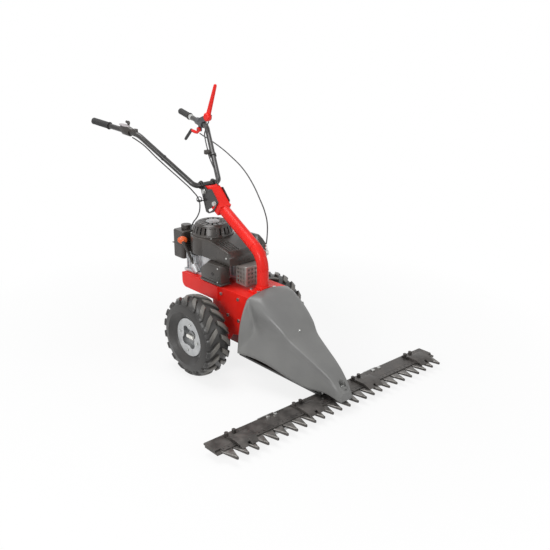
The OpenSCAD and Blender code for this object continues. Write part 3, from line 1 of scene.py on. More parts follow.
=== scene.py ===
import json
import math
import bmesh
import bpy
from mathutils import Matrix, Vector
from mathutils.bvhtree import BVHTree
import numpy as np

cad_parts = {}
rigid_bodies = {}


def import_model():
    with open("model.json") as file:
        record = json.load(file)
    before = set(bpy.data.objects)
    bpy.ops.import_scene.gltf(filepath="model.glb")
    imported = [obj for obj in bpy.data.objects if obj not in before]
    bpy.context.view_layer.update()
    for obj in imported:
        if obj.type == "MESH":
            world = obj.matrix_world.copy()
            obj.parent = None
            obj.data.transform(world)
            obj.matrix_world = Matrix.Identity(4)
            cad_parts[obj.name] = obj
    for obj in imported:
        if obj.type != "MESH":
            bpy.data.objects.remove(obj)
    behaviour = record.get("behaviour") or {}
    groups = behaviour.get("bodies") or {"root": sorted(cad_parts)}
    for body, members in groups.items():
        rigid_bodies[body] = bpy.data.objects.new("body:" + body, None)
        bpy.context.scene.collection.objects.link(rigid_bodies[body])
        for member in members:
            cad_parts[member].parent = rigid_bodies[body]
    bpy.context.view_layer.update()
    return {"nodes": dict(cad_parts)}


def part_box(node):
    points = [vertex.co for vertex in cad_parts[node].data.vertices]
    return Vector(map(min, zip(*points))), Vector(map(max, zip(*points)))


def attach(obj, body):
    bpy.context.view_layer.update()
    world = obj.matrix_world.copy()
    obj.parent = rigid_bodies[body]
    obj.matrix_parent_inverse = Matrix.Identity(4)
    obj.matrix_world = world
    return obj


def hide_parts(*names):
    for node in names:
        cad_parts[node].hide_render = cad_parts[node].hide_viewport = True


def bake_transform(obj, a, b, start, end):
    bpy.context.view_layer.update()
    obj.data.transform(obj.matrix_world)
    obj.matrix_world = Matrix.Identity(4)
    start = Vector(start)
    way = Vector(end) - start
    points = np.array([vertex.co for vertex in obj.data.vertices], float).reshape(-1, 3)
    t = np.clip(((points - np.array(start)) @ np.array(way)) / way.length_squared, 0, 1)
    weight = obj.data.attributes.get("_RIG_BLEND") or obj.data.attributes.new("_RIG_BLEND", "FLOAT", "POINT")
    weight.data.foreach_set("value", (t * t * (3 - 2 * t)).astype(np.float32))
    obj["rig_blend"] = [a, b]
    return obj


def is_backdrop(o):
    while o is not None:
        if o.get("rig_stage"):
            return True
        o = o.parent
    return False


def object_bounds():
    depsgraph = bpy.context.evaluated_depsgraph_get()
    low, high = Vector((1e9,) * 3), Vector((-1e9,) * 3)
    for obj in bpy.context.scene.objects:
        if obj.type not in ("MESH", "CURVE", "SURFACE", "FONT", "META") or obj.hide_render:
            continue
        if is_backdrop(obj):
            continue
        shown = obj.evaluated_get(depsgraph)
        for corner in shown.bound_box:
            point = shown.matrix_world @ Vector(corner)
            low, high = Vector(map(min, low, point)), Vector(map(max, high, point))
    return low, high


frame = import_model()

# Camera: it stands ahead of the machine, to its right and a little above the handlebar.
# The lens is a normal one on a 36 mm sensor, and the picture is square.
scene = bpy.context.scene
view = bpy.data.cameras.new("view")
view.sensor_width = 36
view.lens = 51.29
camera = bpy.data.objects.new("camera", view)
camera.location = (-2.1869, -2.7732, 1.6724)
camera.rotation_euler = [math.radians(turn) for turn in (70.3752, 0, -41.4058)]
scene.collection.objects.link(camera)
scene.camera = camera

# Control cables: three steel cables in black PVC sheaths, extruded smooth and a little glossy.
# Each leaves a lever on the handlebar and bends down to the engine, the deck or the column's head,
# so its upper end moves with the handlebar and its lower end stays on the chassis.
mm = 0.001


def linear(hex_colour):
    """A colour written as sRGB hex, in the linear values that the shaders take."""
    parts = [int(hex_colour[i:i + 2], 16) / 255 for i in (1, 3, 5)]
    return [v / 12.92 if v <= 0.04045 else ((v + 0.055) / 1.055) ** 2.4 for v in parts] + [1.0]


def add_node(tree, kind, inputs=None, **settings):
    """A node with its settings; an input is a plain value or another node's output."""
    node = tree.nodes.new(kind)
    for name, value in settings.items():
        setattr(node, name, value)
    for name, value in (inputs or {}).items():
        if isinstance(value, bpy.types.NodeSocket):
            tree.links.new(value, node.inputs[name])
        else:
            node.inputs[name].default_value = value
    return node


def new_finish(name, colour, **sockets):
    """A material with one shader, whose even values are set on the shader's own sockets."""
    finish = bpy.data.materials.new(name)
    finish.use_nodes = True
    finish.diffuse_color = linear(colour)
    shader = finish.node_tree.nodes["Principled BSDF"]
    shader.inputs["Base Color"].default_value = linear(colour)
    for socket, value in sockets.items():
        shader.inputs[socket.replace("_", " ")].default_value = value
    return finish


def patches(finish, colour, other, size, low=0.35, high=0.7, detail=4):
    """Colour that drifts between two tones in soft patches of a real size in metres."""
    tree = finish.node_tree
    place = add_node(tree, "ShaderNodeTexCoord").outputs["Object"]
    noise = add_node(tree, "ShaderNodeTexNoise", {"Vector": place, "Scale": 1 / size, "Detail": detail})
    share = add_node(tree, "ShaderNodeMapRange", {
        "Value": noise.outputs["Fac"], "From Min": low, "From Max": high})
    mix = add_node(tree, "ShaderNodeMix", {
        "Factor": share.outputs["Result"], "A": linear(colour), "B": linear(other)}, data_type="RGBA")
    tree.links.new(mix.outputs["Result"], tree.nodes["Principled BSDF"].inputs["Base Color"])
    return share.outputs["Result"]


def gloss_drift(finish, fac, smooth, rough):
    """Roughness that follows a pattern between two values."""
    tree = finish.node_tree
    drift = add_node(tree, "ShaderNodeMapRange", {"Value": fac, "To Min": smooth, "To Max": rough})
    tree.links.new(drift.outputs["Result"], tree.nodes["Principled BSDF"].inputs["Roughness"])


def dress(piece, finish, body, slot, *stands_for):
    """Gives a finished piece its material and its body and hides the nodes that it stands for; the slot is
    not used.
    """
    piece.data.materials.clear()
    piece.data.materials.append(finish)
    if piece.parent is None and "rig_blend" not in piece:
        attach(piece, body)
    if stands_for:
        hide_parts(*stands_for)


# PVC sheath: extruded, so it is even and softly glossy; dust lies on it in faint patches.
sheath_pvc = new_finish("sheath_pvc", "#1b1b1c", Roughness=0.38)
gloss_drift(sheath_pvc, patches(sheath_pvc, "#161617", "#2c2c2c", 45 * mm), 0.32, 0.5)

axle_y = -35
cable_r = 3 * mm
throttle_route = [
    (-208, 541, 1030), (-204, 515, 1022), (-190, 468, 998), (-166, 415, 951), (-135, 352, 897),
    (-104, 292, 846), (-74, 252, 800), (-54, 232, 760), (-52, 226, 715), (-58, 238, 675),
    (-70, 260, 640), (-77, 271, 612), (-77, 270, 591)]
drive_route = [
    (206, 562, 1002), (204, 530, 994), (200, 479, 984), (194, 416, 970), (188, 348, 952), (180, 278, 930),
    (164, 161, 886), (140, 59, 832), (114, -18, 784), (88, -89, 732), (66, -130, 690), (48, -149, 636),
    (40, -152, 600), (40, -152, 577)]
blade_route = [
    (190, 462, 1075), (174, 460, 1048), (160, 458, 1020), (145, 433, 992), (124, 390, 956),
    (107, 357, 930), (84, 296, 892), (60, 240, 872), (36, 200, 850), (20, 172, 826)]


def on_machine(point):
    """A point given in millimetres from the axle, in metres in the machine's frame."""
    return Vector((point[0], point[1] + axle_y, point[2])) * mm


def cable_tube(name, route, radius):
    """A smooth round tube through the points of a route, as one closed mesh."""
    line = bpy.data.curves.new(name, "CURVE")
    line.dimensions = "3D"
    line.bevel_depth = radius
    line.bevel_resolution = 3
    line.resolution_u = 8
    line.use_fill_caps = True
    spline = line.splines.new("BEZIER")
    spline.bezier_points.add(len(route) - 1)
    for knot, point in zip(spline.bezier_points, route):
        knot.co = on_machine(point)
        knot.handle_left_type = knot.handle_right_type = "AUTO"
    drawn = bpy.data.objects.new(name, line)
    scene.collection.objects.link(drawn)
    bpy.context.view_layer.update()
    mesh = bpy.data.meshes.new_from_object(drawn.evaluated_get(bpy.context.evaluated_depsgraph_get()))
    bpy.data.objects.remove(drawn)
    mesh.name = name
    mesh.shade_smooth()
    piece = bpy.data.objects.new(name, mesh)
    scene.collection.objects.link(piece)
    return piece


for cable_name, route, chassis_point, handlebar_point in (
        ("throttle_cable", throttle_route, 10, 3), ("drive_cable", drive_route, 12, 2),
        ("blade_cable", blade_route, 9, 6)):
    sheath = cable_tube(cable_name + "_sheath", route, cable_r)
    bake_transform(sheath, "chassis", "handlebar",
             start=on_machine(route[chassis_point]), end=on_machine(route[handlebar_point]))
    dress(sheath, sheath_pvc, "chassis", "belt_rubber", cable_name)

# Floor and light: a pale plain floor, a wide soft light overhead, two more from the front right and
# the front left, and a white surround. The floor and the surround show white to the eye and in gloss.
scene.view_settings.view_transform = "Standard"


def plain_white(tree):
    """One where the eye, a reflection or clear plastic looks straight at a surface."""
    ray = add_node(tree, "ShaderNodeLightPath").outputs
    seen = add_node(tree, "ShaderNodeMath", operation="MAXIMUM")
    tree.links.new(ray["Is Camera Ray"], seen.inputs[0])
    tree.links.new(ray["Is Glossy Ray"], seen.inputs[1])
    clear = add_node(tree, "ShaderNodeMath", operation="MAXIMUM")
    tree.links.new(seen.outputs[0], clear.inputs[0])
    tree.links.new(ray["Is Transmission Ray"], clear.inputs[1])
    return clear.outputs[0]


def new_piece(name, bm, smooth=35):
    """An object at the origin from a bmesh, smooth except across edges sharper than an angle."""
    mesh = bpy.data.meshes.new(name)
    bm.to_mesh(mesh)
    bm.free()
    mesh.shade_smooth()
    mesh.set_sharp_from_angle(angle=math.radians(smooth))
    piece = bpy.data.objects.new(name, mesh)
    scene.collection.objects.link(piece)
    return piece


floor_half = 14
floor_bm = bmesh.new()
bmesh.ops.create_grid(floor_bm, x_segments=1, y_segments=1, size=floor_half)
floor = new_piece("floor", floor_bm)
pale_floor = bpy.data.materials.new("pale_floor")
pale_floor.use_nodes = True
floor_tree = pale_floor.node_tree
floor_tree.nodes.clear()
matt = add_node(floor_tree, "ShaderNodeBsdfDiffuse", {"Color": linear("#f4f4f4")})
white = add_node(floor_tree, "ShaderNodeEmission", {"Color": linear("#ffffff"), "Strength": 1.0})
# Close to the machine the floor keeps a share of its shading; further out it is plain white.
shade_r, plain_r, white_share = 0.7, 1.8, 0.82
floor_place = add_node(floor_tree, "ShaderNodeTexCoord").outputs["Object"]
away = add_node(floor_tree, "ShaderNodeVectorMath", {0: floor_place}, operation="LENGTH")
fade = add_node(floor_tree, "ShaderNodeMapRange", {
    "Value": away.outputs["Value"], "From Min": shade_r, "From Max": plain_r,
    "To Min": white_share, "To Max": 1.0})
seen_share = add_node(floor_tree, "ShaderNodeMath", {
    0: plain_white(floor_tree), 1: fade.outputs["Result"]}, operation="MULTIPLY")
floor_mix = add_node(floor_tree, "ShaderNodeMixShader", {
    0: seen_share.outputs[0], 1: matt.outputs[0], 2: white.outputs[0]})
add_node(floor_tree, "ShaderNodeOutputMaterial", {"Surface": floor_mix.outputs[0]})
floor.data.materials.append(pale_floor)
floor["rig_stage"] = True

world = bpy.data.worlds.new("surround")
scene.world = world
world.use_nodes = True
surround = world.node_tree
glow = surround.nodes["Background"]
glow.inputs["Color"].default_value = linear("#ffffff")
fill_strength = 0.36
strength = add_node(surround, "ShaderNodeMapRange", {
    "Value": plain_white(surround), "To Min": fill_strength, "To Max": 1.0})
surround.links.new(strength.outputs["Result"], glow.inputs["Strength"])


def soft_light(name, place, aim, size, watts):
    """A square soft light that faces a point."""
    lamp = bpy.data.lights.new(name, "AREA")
    lamp.shape = "SQUARE"
    lamp.size = size
    lamp.energy = watts
    light = bpy.data.objects.new(name, lamp)
    light.location = place
    light.rotation_euler = (Vector(aim) - Vector(place)).to_track_quat("-Z", "Y").to_euler()
    scene.collection.objects.link(light)


soft_light("overhead", (-0.4, 0.6, 3.4), (0, -0.1, 0.3), 1.8, 54)
soft_light("front_right", (-3.4, -1.6, 1.9), (0, 0, 0.4), 1.4, 66)
soft_light("front_left", (1.4, -3.6, 1.5), (0, 0, 0.4), 1.6, 22)

# Engine deck: a plate of 4 mm steel with a turned-down rim and two welded cheeks that hold the gearbox.
# It is pressed, welded and powder coated red; the coat rounds its edges and has a faint orange peel.
nodes = frame["nodes"]
merge_gap = 0.01 * mm


def grain(finish, size, depth, stretch=(1, 1, 1), detail=2):
    """A relief of a grain size and depth in metres; stretch draws it out along an axis.

    Real grain is mostly finer than a millimetre; each size is as coarse as it takes to show.
    """
    tree = finish.node_tree
    place = add_node(tree, "ShaderNodeTexCoord").outputs["Object"]
    drawn = add_node(tree, "ShaderNodeMapping", {"Vector": place, "Scale": stretch})
    noise = add_node(tree, "ShaderNodeTexNoise", {
        "Vector": drawn.outputs["Vector"], "Scale": 1 / size, "Detail": detail})
    relief = add_node(tree, "ShaderNodeBump", {
        "Height": noise.outputs["Fac"], "Distance": depth, "Strength": 1.0})
    tree.links.new(relief.outputs["Normal"], tree.nodes["Principled BSDF"].inputs["Normal"])


def softened(node, width, segments=2, angle=32, choose=None, keep=None, name=None):
    """A copy of a CAD node, or of the part kept, with its sharp edges rounded to a real radius."""
    bm = bmesh.new()
    bm.from_mesh(nodes[node].data)
    if keep:
        bmesh.ops.delete(bm, geom=[v for v in bm.verts if not keep(v.co)], context="VERTS")
    bmesh.ops.remove_doubles(bm, verts=bm.verts, dist=merge_gap)
    bmesh.ops.dissolve_limit(bm, angle_limit=math.radians(0.4), verts=bm.verts, edges=bm.edges)
    sharp = [e for e in bm.edges if len(e.link_faces) == 2 and e.calc_face_angle() > math.radians(angle)]
    sharp = [e for e in sharp if choose is None or choose(e)]
    bmesh.ops.bevel(bm, geom=sharp, offset=width, offset_type="OFFSET", affect="EDGES",
                    segments=segments, profile=0.5, material=-1, clamp_overlap=False)
    bmesh.ops.triangulate(bm, faces=[f for f in bm.faces if len(f.verts) > 4])
    piece = new_piece(name or node + "_rounded", bm, smooth=38)
    even = piece.modifiers.new("even_faces", "WEIGHTED_NORMAL")
    even.keep_sharp = True
    return piece


red_coat = new_finish(
    "red_powder_coat", "#ea261d", Roughness=0.36, Specular_IOR_Level=0.22, Coat_Weight=0.05)
gloss_drift(red_coat, patches(red_coat, "#ec281f", "#de1f18", 120 * mm), 0.3, 0.44)
# The peel is really about 2 mm across; it is drawn at 5 mm so that it shows.
grain(red_coat, 5 * mm, 0.05 * mm)
dress(softened("engine_deck", 1.6 * mm), red_coat, "chassis", "red_paint", "engine_deck")

# Steering column: a bent steel tube on a bolted foot, with a welded box at its head for the handlebar.
# It is powder coated red with the deck.
dress(softened("steering_column", 1.4 * mm), red_coat, "chassis", "red_paint", "steering_column")
full_turn = 2 * math.pi


def join(bm, other):
    """Moves the whole of one bmesh into another."""
    part = bpy.data.meshes.new("part")
    other.to_mesh(part)
    other.free()
    bm.from_mesh(part)
    bpy.data.meshes.remove(part)


def turned(bm, outline, foot, axis=(0, 0, 1), steps=32, angle=full_turn, start=0.0):
    """Adds a turned shape: radii and heights in millimetres, from a foot point along an axis."""
    lathe = bmesh.new()
    row = [lathe.verts.new((r * mm, 0, z * mm)) for r, z in outline]
    edges = [lathe.edges.new(pair) for pair in zip(row, row[1:])]
    if angle < full_turn:
        edges.append(lathe.edges.new((row[-1], row[0])))
        bmesh.ops.contextual_create(lathe, geom=edges)
        bmesh.ops.spin(lathe, geom=lathe.faces[:], cent=(0, 0, 0), axis=(0, 0, 1), angle=angle,
                       steps=steps, use_merge=False)
    else:
        bmesh.ops.spin(lathe, geom=row + edges, cent=(0, 0, 0), axis=(0, 0, 1), angle=angle, steps=steps,
                       use_merge=True)
    bmesh.ops.remove_doubles(lathe, verts=lathe.verts, dist=merge_gap)
    bmesh.ops.recalc_face_normals(lathe, faces=lathe.faces)
    bmesh.ops.rotate(lathe, verts=lathe.verts, cent=(0, 0, 0), matrix=Matrix.Rotation(start, 3, "Z"))
    stand = Vector((0, 0, 1)).rotation_difference(Vector(axis)).to_matrix()
    bmesh.ops.rotate(lathe, verts=lathe.verts, cent=(0, 0, 0), matrix=stand)
    bmesh.ops.translate(lathe, verts=lathe.verts, vec=on_machine(foot))
    join(bm, lathe)


# A plated sleeve caps the cable stop on the column's side, with a threaded adjuster for the cable in it.
# Zinc plate is bright, with a faint spangle in its tone and gloss.
zinc = new_finish("zinc_plate", "#c3c5c4", Roughness=0.3, Metallic=1.0)
gloss_drift(zinc, patches(zinc, "#b7b9b9", "#cfcfca", 8 * mm), 0.22, 0.4)
stop_bm = bmesh.new()
turned(stop_bm, [(10.3, 0), (13, 0), (13, 16), (11, 18.4), (0, 18.4)], (29, -152, 566), (1, 0, 0))
turned(stop_bm, [(0, -2), (6, -2), (6, 12), (4.5, 13), (4.5, 26), (3.4, 30), (3.4, -2)],
       (40, -152, 576), steps=16)
dress(new_piece("cable_stop", stop_bm), zinc, "chassis", "zinc_steel")

# Gearbox: a sand-cast case and cover with the worm drive inside, painted red and darkened as painted shade.
# The casting is grainy, and bearings, shafts and gears in it are bare metal.
red_casting_painted_shade = new_finish("red_casting_with_painted_shade", "#8c211d", Roughness=0.5)
patches(red_casting_painted_shade, "#7d1d1a", "#992722", 60 * mm)
grain(red_casting_painted_shade, 4 * mm, 0.25 * mm)
for casting in ("gearbox_case", "gearbox_cover"):
    dress(softened(casting, 1.5 * mm), red_casting_painted_shade, "chassis", "cast_case", casting)


def coat_node(finish, *names):
    """Gives CAD nodes that keep their own shape a finished material."""
    for name in names:
        nodes[name].data.materials.clear()
        nodes[name].data.materials.append(finish)


# The bearings and shafts are turned and bright, and the worm wheel is of yellow bronze.
turned_steel = new_finish("turned_steel", "#a6a7a8", Roughness=0.3, Metallic=1.0)
gloss_drift(turned_steel, patches(turned_steel, "#9c9d9e", "#b2b3b3", 25 * mm), 0.22, 0.4)
coat_node(turned_steel, "drive_bearings", "crankshaft", "worm_shaft", "axle_shaft")
gear_bronze = new_finish("gear_bronze", "#b08a4e", Roughness=0.33, Metallic=1.0)
gloss_drift(gear_bronze, patches(gear_bronze, "#a67f44", "#bb9659", 20 * mm), 0.25, 0.42)
coat_node(gear_bronze, "worm_wheel")

# Belt drive: two grooved pulleys, a spring-loaded idler and one rubber V-belt under the deck.
# The pulleys are turned and left bare, so they are dull; the belt is black rubber with a cloth skin.
dull_steel = new_finish("dull_steel", "#8f9091", Roughness=0.42, Metallic=0.9)
gloss_drift(dull_steel, patches(dull_steel, "#838485", "#9d9d9c", 30 * mm), 0.34, 0.55)
grain(dull_steel, 3 * mm, 0.06 * mm)
coat_node(dull_steel, "engine_pulley", "input_pulley", "idler_arm", "idler_pulley")
belt_skin = new_finish("belt_rubber", "#1d1d1d", Roughness=0.7)
patches(belt_skin, "#191919", "#262625", 20 * mm)
grain(belt_skin, 1.5 * mm, 0.15 * mm)
coat_node(belt_skin, "drive_belt")

# Tyres: two moulded rubber tyres with deep lugs in a chevron, 381 mm over the lugs and 146 mm wide.
# Each has a round-shouldered carcass with two raised rings on the wall; dust greys the rubber and a painted
# highlight lightens the lugs' tops.
tyre_r = 190.5 * mm
tyre_half = 73 * mm
bead_r = 76.3 * mm
wall_inset = 5 * mm
crown_power, wall_power, wall_share, bead_draw = 0.6, 0.75, 0.38, 0.5
lug_count = 18
lug_h = 13 * mm
lug_root = 6 * mm
# A lug's run up to the shoulder, its slant and its width are in degrees; the shares are of its length.
lug_from, lug_span, lug_slant, slant_share = 3, 59, 15, 0.7
lug_narrow, lug_widening, wide_share, foot_flare = 6.2, 3.6, 0.5, 1.25
ring_h = 2.4 * mm
ring_turns = (90, 115, 245, 270)
tyre_rubber = new_finish("tyre_rubber", "#302f2e", Roughness=0.45, Specular_IOR_Level=0.5)
gloss_drift(tyre_rubber, patches(tyre_rubber, "#2c2b2a", "#3a3836", 55 * mm), 0.32, 0.5)
grain(tyre_rubber, 3 * mm, 0.12 * mm)
# Dust and a painted highlight lighten the lugs' tops; the grooves between them keep the darker rubber.
groove_r, top_r = 178 * mm, 189 * mm
rubber_tree = tyre_rubber.node_tree
rubber_place = add_node(rubber_tree, "ShaderNodeTexCoord").outputs["Object"]
from_axle = add_node(rubber_tree, "ShaderNodeVectorMath", {
    0: rubber_place, 1: (0, axle_y * mm, tyre_r)}, operation="SUBTRACT")
flat = add_node(rubber_tree, "ShaderNodeVectorMath", {
    0: from_axle.outputs["Vector"], 1: (0, 1, 1)}, operation="MULTIPLY")
reach = add_node(rubber_tree, "ShaderNodeVectorMath", {0: flat.outputs["Vector"]}, operation="LENGTH")
dust_and_highlight_share = add_node(rubber_tree, "ShaderNodeMapRange", {
    "Value": reach.outputs["Value"], "From Min": groove_r, "From Max": top_r})
shader = rubber_tree.nodes["Principled BSDF"]
base = shader.inputs["Base Color"].links[0].from_socket
dust_and_highlight = add_node(rubber_tree, "ShaderNodeMix", {
    "Factor": dust_and_highlight_share.outputs["Result"], "A": base, "B": linear("#6b6863")}, data_type="RGBA")
rubber_tree.links.new(dust_and_highlight.outputs["Result"], shader.inputs["Base Color"])


def power(value, exponent):
    """A power of a value's size that keeps the value's sign."""
    return math.copysign(abs(value) ** exponent, value)


def carcass_point(turn, swell=0.0):
    """Distance from the tyre's middle plane and from its axis, at an angle round its section."""
    half_h = (tyre_r - lug_h - bead_r) / 2
    mid = bead_r + half_h
    rise = power(math.cos(turn), crown_power)
    out = (tyre_half - wall_inset + wall_share * swell) * power(math.sin(turn), wall_power)
    if rise < 0:
        out *= 1 + bead_draw * rise
    return out, mid + (half_h + swell) * rise


def tyre_piece(name, centre, outward):
    """A tyre: its section spun once round the axle, with a row of lugs on each side."""
    bm = bmesh.new()
    # The section's outline goes once round; the raised rings are small steps on the wall.
    steps = 44
    outline = []
    for i in range(steps):
        turn = full_turn * i / steps
        ring = ring_h if round(math.degrees(turn)) in ring_turns else 0.0
        x, r = carcass_point(turn)
        outline.append(bm.verts.new((x + math.copysign(ring, x), 0, r)))
    edges = [bm.edges.new((outline[i], outline[(i + 1) % steps])) for i in range(steps)]
    bmesh.ops.spin(bm, geom=outline + edges, cent=(0, 0, 0), axis=(1, 0, 0), angle=full_turn,
                   steps=96, use_merge=True)
    bmesh.ops.remove_doubles(bm, verts=bm.verts, dist=0.05 * mm)
    bmesh.ops.recalc_face_normals(bm, faces=bm.faces)
    for side in (1, -1):
        for i in range(lug_count):
            start = full_turn * (i + (0.5 if side > 0 else 0.0)) / lug_count
            add_lug(bm, side, start, outward)
    bmesh.ops.translate(bm, verts=bm.verts, vec=centre)
    return new_piece(name, bm, smooth=40)


def add_lug(bm, side, start, outward):
    """One lug: a block that runs slanting out from the middle and then straight to the shoulder."""
    block = bmesh.new()
    bmesh.ops.create_grid(block, x_segments=9, y_segments=2, size=0.5)
    foot = bmesh.ops.extrude_face_region(block, geom=block.faces[:])
    for v in [v for v in foot["geom"] if isinstance(v, bmesh.types.BMVert)]:
        v.co.z = 1.0
    for v in block.verts:
        along, across, top = v.co.x + 0.5, v.co.y, v.co.z
        turn = math.radians(lug_from + lug_span * along)
        slant = math.radians(lug_slant) * max(0.0, 1 - along / slant_share)
        width = math.radians(lug_narrow + lug_widening * min(1.0, along / wide_share))
        width *= 1.0 if top else foot_flare
        swell = lug_h if top else -lug_root
        x, r = carcass_point(turn, swell)
        angle = start + outward * (slant + across * width)
        v.co = Vector((side * x, -math.sin(angle) * r, math.cos(angle) * r))
    bmesh.ops.recalc_face_normals(block, faces=block.faces)
    edge = [e for e in block.edges if len(e.link_faces) == 2 and e.calc_face_angle() > math.radians(50)]
    bmesh.ops.bevel(block, geom=edge, offset=1.6 * mm, offset_type="OFFSET", affect="EDGES", segments=1,
                    profile=0.5, material=-1, clamp_overlap=True)
    join(bm, block)


for side_name, outward in (("left", 1), ("right", -1)):
    low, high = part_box("tyre_" + side_name)
    tyre = tyre_piece(f"tyre_{side_name}_moulded", (low + high) / 2, outward)
    dress(tyre, tyre_rubber, "axle", "tyre_rubber", "tyre_" + side_name)

# Rims and hubs: pressed steel rims with a clover opening in the outer disc, sprayed silver.
# The hub is bare steel, a white plastic tab on it locks the wheel to the axle, and zinc bolts hold the disc.
silver_spray = new_finish("silver_spray", "#b9bbbc", Roughness=0.42, Metallic=0.45)
gloss_drift(silver_spray, patches(silver_spray, "#aeb0b1", "#c6c7c7", 50 * mm), 0.36, 0.5)
grain(silver_spray, 3 * mm, 0.06 * mm)
for rim in ("rim_left", "rim_right"):
    dress(softened(rim, 0.8 * mm), silver_spray, "axle", "silver_paint", rim)
dress(softened("wheel_hubs", 0.8 * mm), dull_steel, "axle", "worn_steel", "wheel_hubs")
white_tab = new_finish("white_moulding", "#e9e8e3", Roughness=0.4)
patches(white_tab, "#efeee9", "#dcdad3", 15 * mm)
for lock, body in (("hub_lock_left", "left_lock"), ("hub_lock_right", "right_lock")):
    dress(softened(lock, 1.0 * mm), white_tab, body, "white_moulding", lock)
dress(softened("wheel_bolts", 0.5 * mm), zinc, "axle", "zinc_steel", "wheel_bolts")

# Engine block: crankcase, finned cylinder, valve cover and carburettor are cast in aluminium.
# The castings are left bare, with a fine sand texture.
cast_alloy = new_finish("cast_aluminium", "#c4c6c8", Roughness=0.45, Metallic=0.8)
gloss_drift(cast_alloy, patches(cast_alloy, "#b2b4b6", "#d2d3d4", 35 * mm), 0.36, 0.55)
grain(cast_alloy, 3 * mm, 0.2 * mm)
for casting in ("crankcase", "cylinder", "valve_cover", "carburettor"):
    dress(softened(casting, 1.0 * mm), cast_alloy, "chassis", "cast_aluminium", casting)
coat_node(cast_alloy, "flywheel_fan")


def rounded_box(bm, low, high, radius, segments=3):
    """Adds a box with rounded edges between two corners given in millimetres from the axle."""
    low, high = on_machine(low), on_machine(high)
    box = bmesh.new()
    bmesh.ops.create_cube(box, size=1)
    bmesh.ops.scale(box, vec=high - low, verts=box.verts)
    bmesh.ops.translate(box, vec=(low + high) / 2, verts=box.verts)
    bmesh.ops.bevel(box, geom=box.edges[:], offset=radius * mm, offset_type="OFFSET", affect="EDGES",
                    segments=segments, profile=0.5, material=-1, clamp_overlap=True)
    join(bm, box)


# The crankcase swells out on its right side, with stiffening ribs and a bolted flange at its foot.
side_bm = bmesh.new()
for y in (224, 243, 262, 281):
    rounded_box(side_bm, (-100, y - 3, 411), (-92, y + 3, 484), 2)
rounded_box(side_bm, (-106, 206, 397.2), (-26, 298, 411), 3)
dress(new_piece("crankcase_side", side_bm), cast_alloy, "chassis", "cast_aluminium")
# The cap on the spark plug is a boot of matt black rubber.
boot_rubber = new_finish("boot_rubber", "#232323", Roughness=0.6)
patches(boot_rubber, "#1f1f1f", "#2d2c2c", 15 * mm)
coat_node(boot_rubber, "spark_plug_cap")

# Engine covers: blower housing, recoil starter cover, fuel tank, filter box and oil tube.
# All are moulded in black polypropylene with a fine spark-eroded grain and soft edges.
black_moulding = new_finish("black_polypropylene", "#37332f", Roughness=0.3)
gloss_drift(black_moulding, patches(black_moulding, "#322e2b", "#423d39", 70 * mm), 0.22, 0.36)
grain(black_moulding, 2.5 * mm, 0.06 * mm)
housing_middle = on_machine((0, 90, 520))
skirt_z = 510 * mm
crank_y, starter_z, starter_top = 196, 590, 648


def outer_edge(edge):
    """True where both faces beside an edge look away from the housing's middle."""
    return all((f.calc_center_median() - housing_middle).dot(f.normal) > 0 for f in edge.link_faces) and all(
        v.co.z > skirt_z for v in edge.verts)


housing = softened("blower_housing", 9 * mm, segments=4, angle=12, choose=outer_edge)
dress(housing, black_moulding, "chassis", "black_moulding", "blower_housing")
for cover, radius in (("recoil_cover", 0.9), ("fuel_tank", 7.0), ("fuel_cap", 2.0)):
    body = "tank_cap" if cover == "fuel_cap" else "chassis"
    dress(softened(cover, radius * mm, segments=3), black_moulding, body, "black_moulding", cover)

# Raised ribs run down the housing's front slope, and a moulded lip goes round the tank's seam.
housing_slope = math.atan2(26, 132)
trim_bm = bmesh.new()
for x in (-78, -64, -50, -36, -22):
    rib = bmesh.new()
    rounded_box(rib, (x - 2, -30, 566), (x + 2, 60, 568.5), 1)
    bmesh.ops.rotate(rib, verts=rib.verts, cent=on_machine((x, -40, 564)),
                     matrix=Matrix.Rotation(housing_slope, 3, "X"))
    join(trim_bm, rib)
rounded_box(trim_bm, (-106, 304.5, 517), (106, 394, 521), 1.5)
# A plain panel closes part of the starter cover's wall.
turned(trim_bm, [(96.5, 13), (98.5, 13), (90.5, 42), (88.5, 42)], (0, crank_y, starter_z), steps=8,
       angle=math.radians(26), start=math.radians(216))
dress(new_piece("cover_trim", trim_bm), black_moulding, "chassis", "black_moulding")


def screw(bm, foot, axis, r):
    """Adds a small domed screw head that stands on a point along an axis."""
    turned(bm, [(0, -1), (r, -1), (r, 0.35 * r), (0.8 * r, 0.6 * r), (0.35 * r, 0.62 * r), (0.3 * r, 0.3 * r),
                (0, 0.3 * r)], foot, axis, steps=16)


# The starter cover has a bright plate in its middle, and zinc screws hold it and the housing.
# Its pull handle is moulded in the covers' black plastic.
screw_ring = 104.5
plate_bm = bmesh.new()
turned(plate_bm, [(0, -1), (33, -1), (33, 2), (31, 3.5), (12, 4.5), (0, 4.5)],
       (0, crank_y, starter_top), steps=40)
dress(new_piece("starter_plate", plate_bm), silver_spray, "chassis", "silver_paint")
screw_bm = bmesh.new()
for turn in (48, 138, 228, 318):
    a = math.radians(turn)
    place = (screw_ring * math.cos(a), crank_y + screw_ring * math.sin(a), starter_z)
    screw(screw_bm, place, (0, 0, 1), 4.5)
screw(screw_bm, (-100, -34, 536), (-1, 0, 0), 5)
dress(new_piece("cover_screws", screw_bm), zinc, "chassis", "zinc_steel")
dress(softened("starter_handle", 2.0 * mm), black_moulding, "starter", "black_moulding", "starter_handle")

# Oil filler: a slim black tube that stands in the crankcase, with a wide orange dipstick handle.
# The handle is moulded on the dipstick, even and softly glossy, and pulls out along the tube.


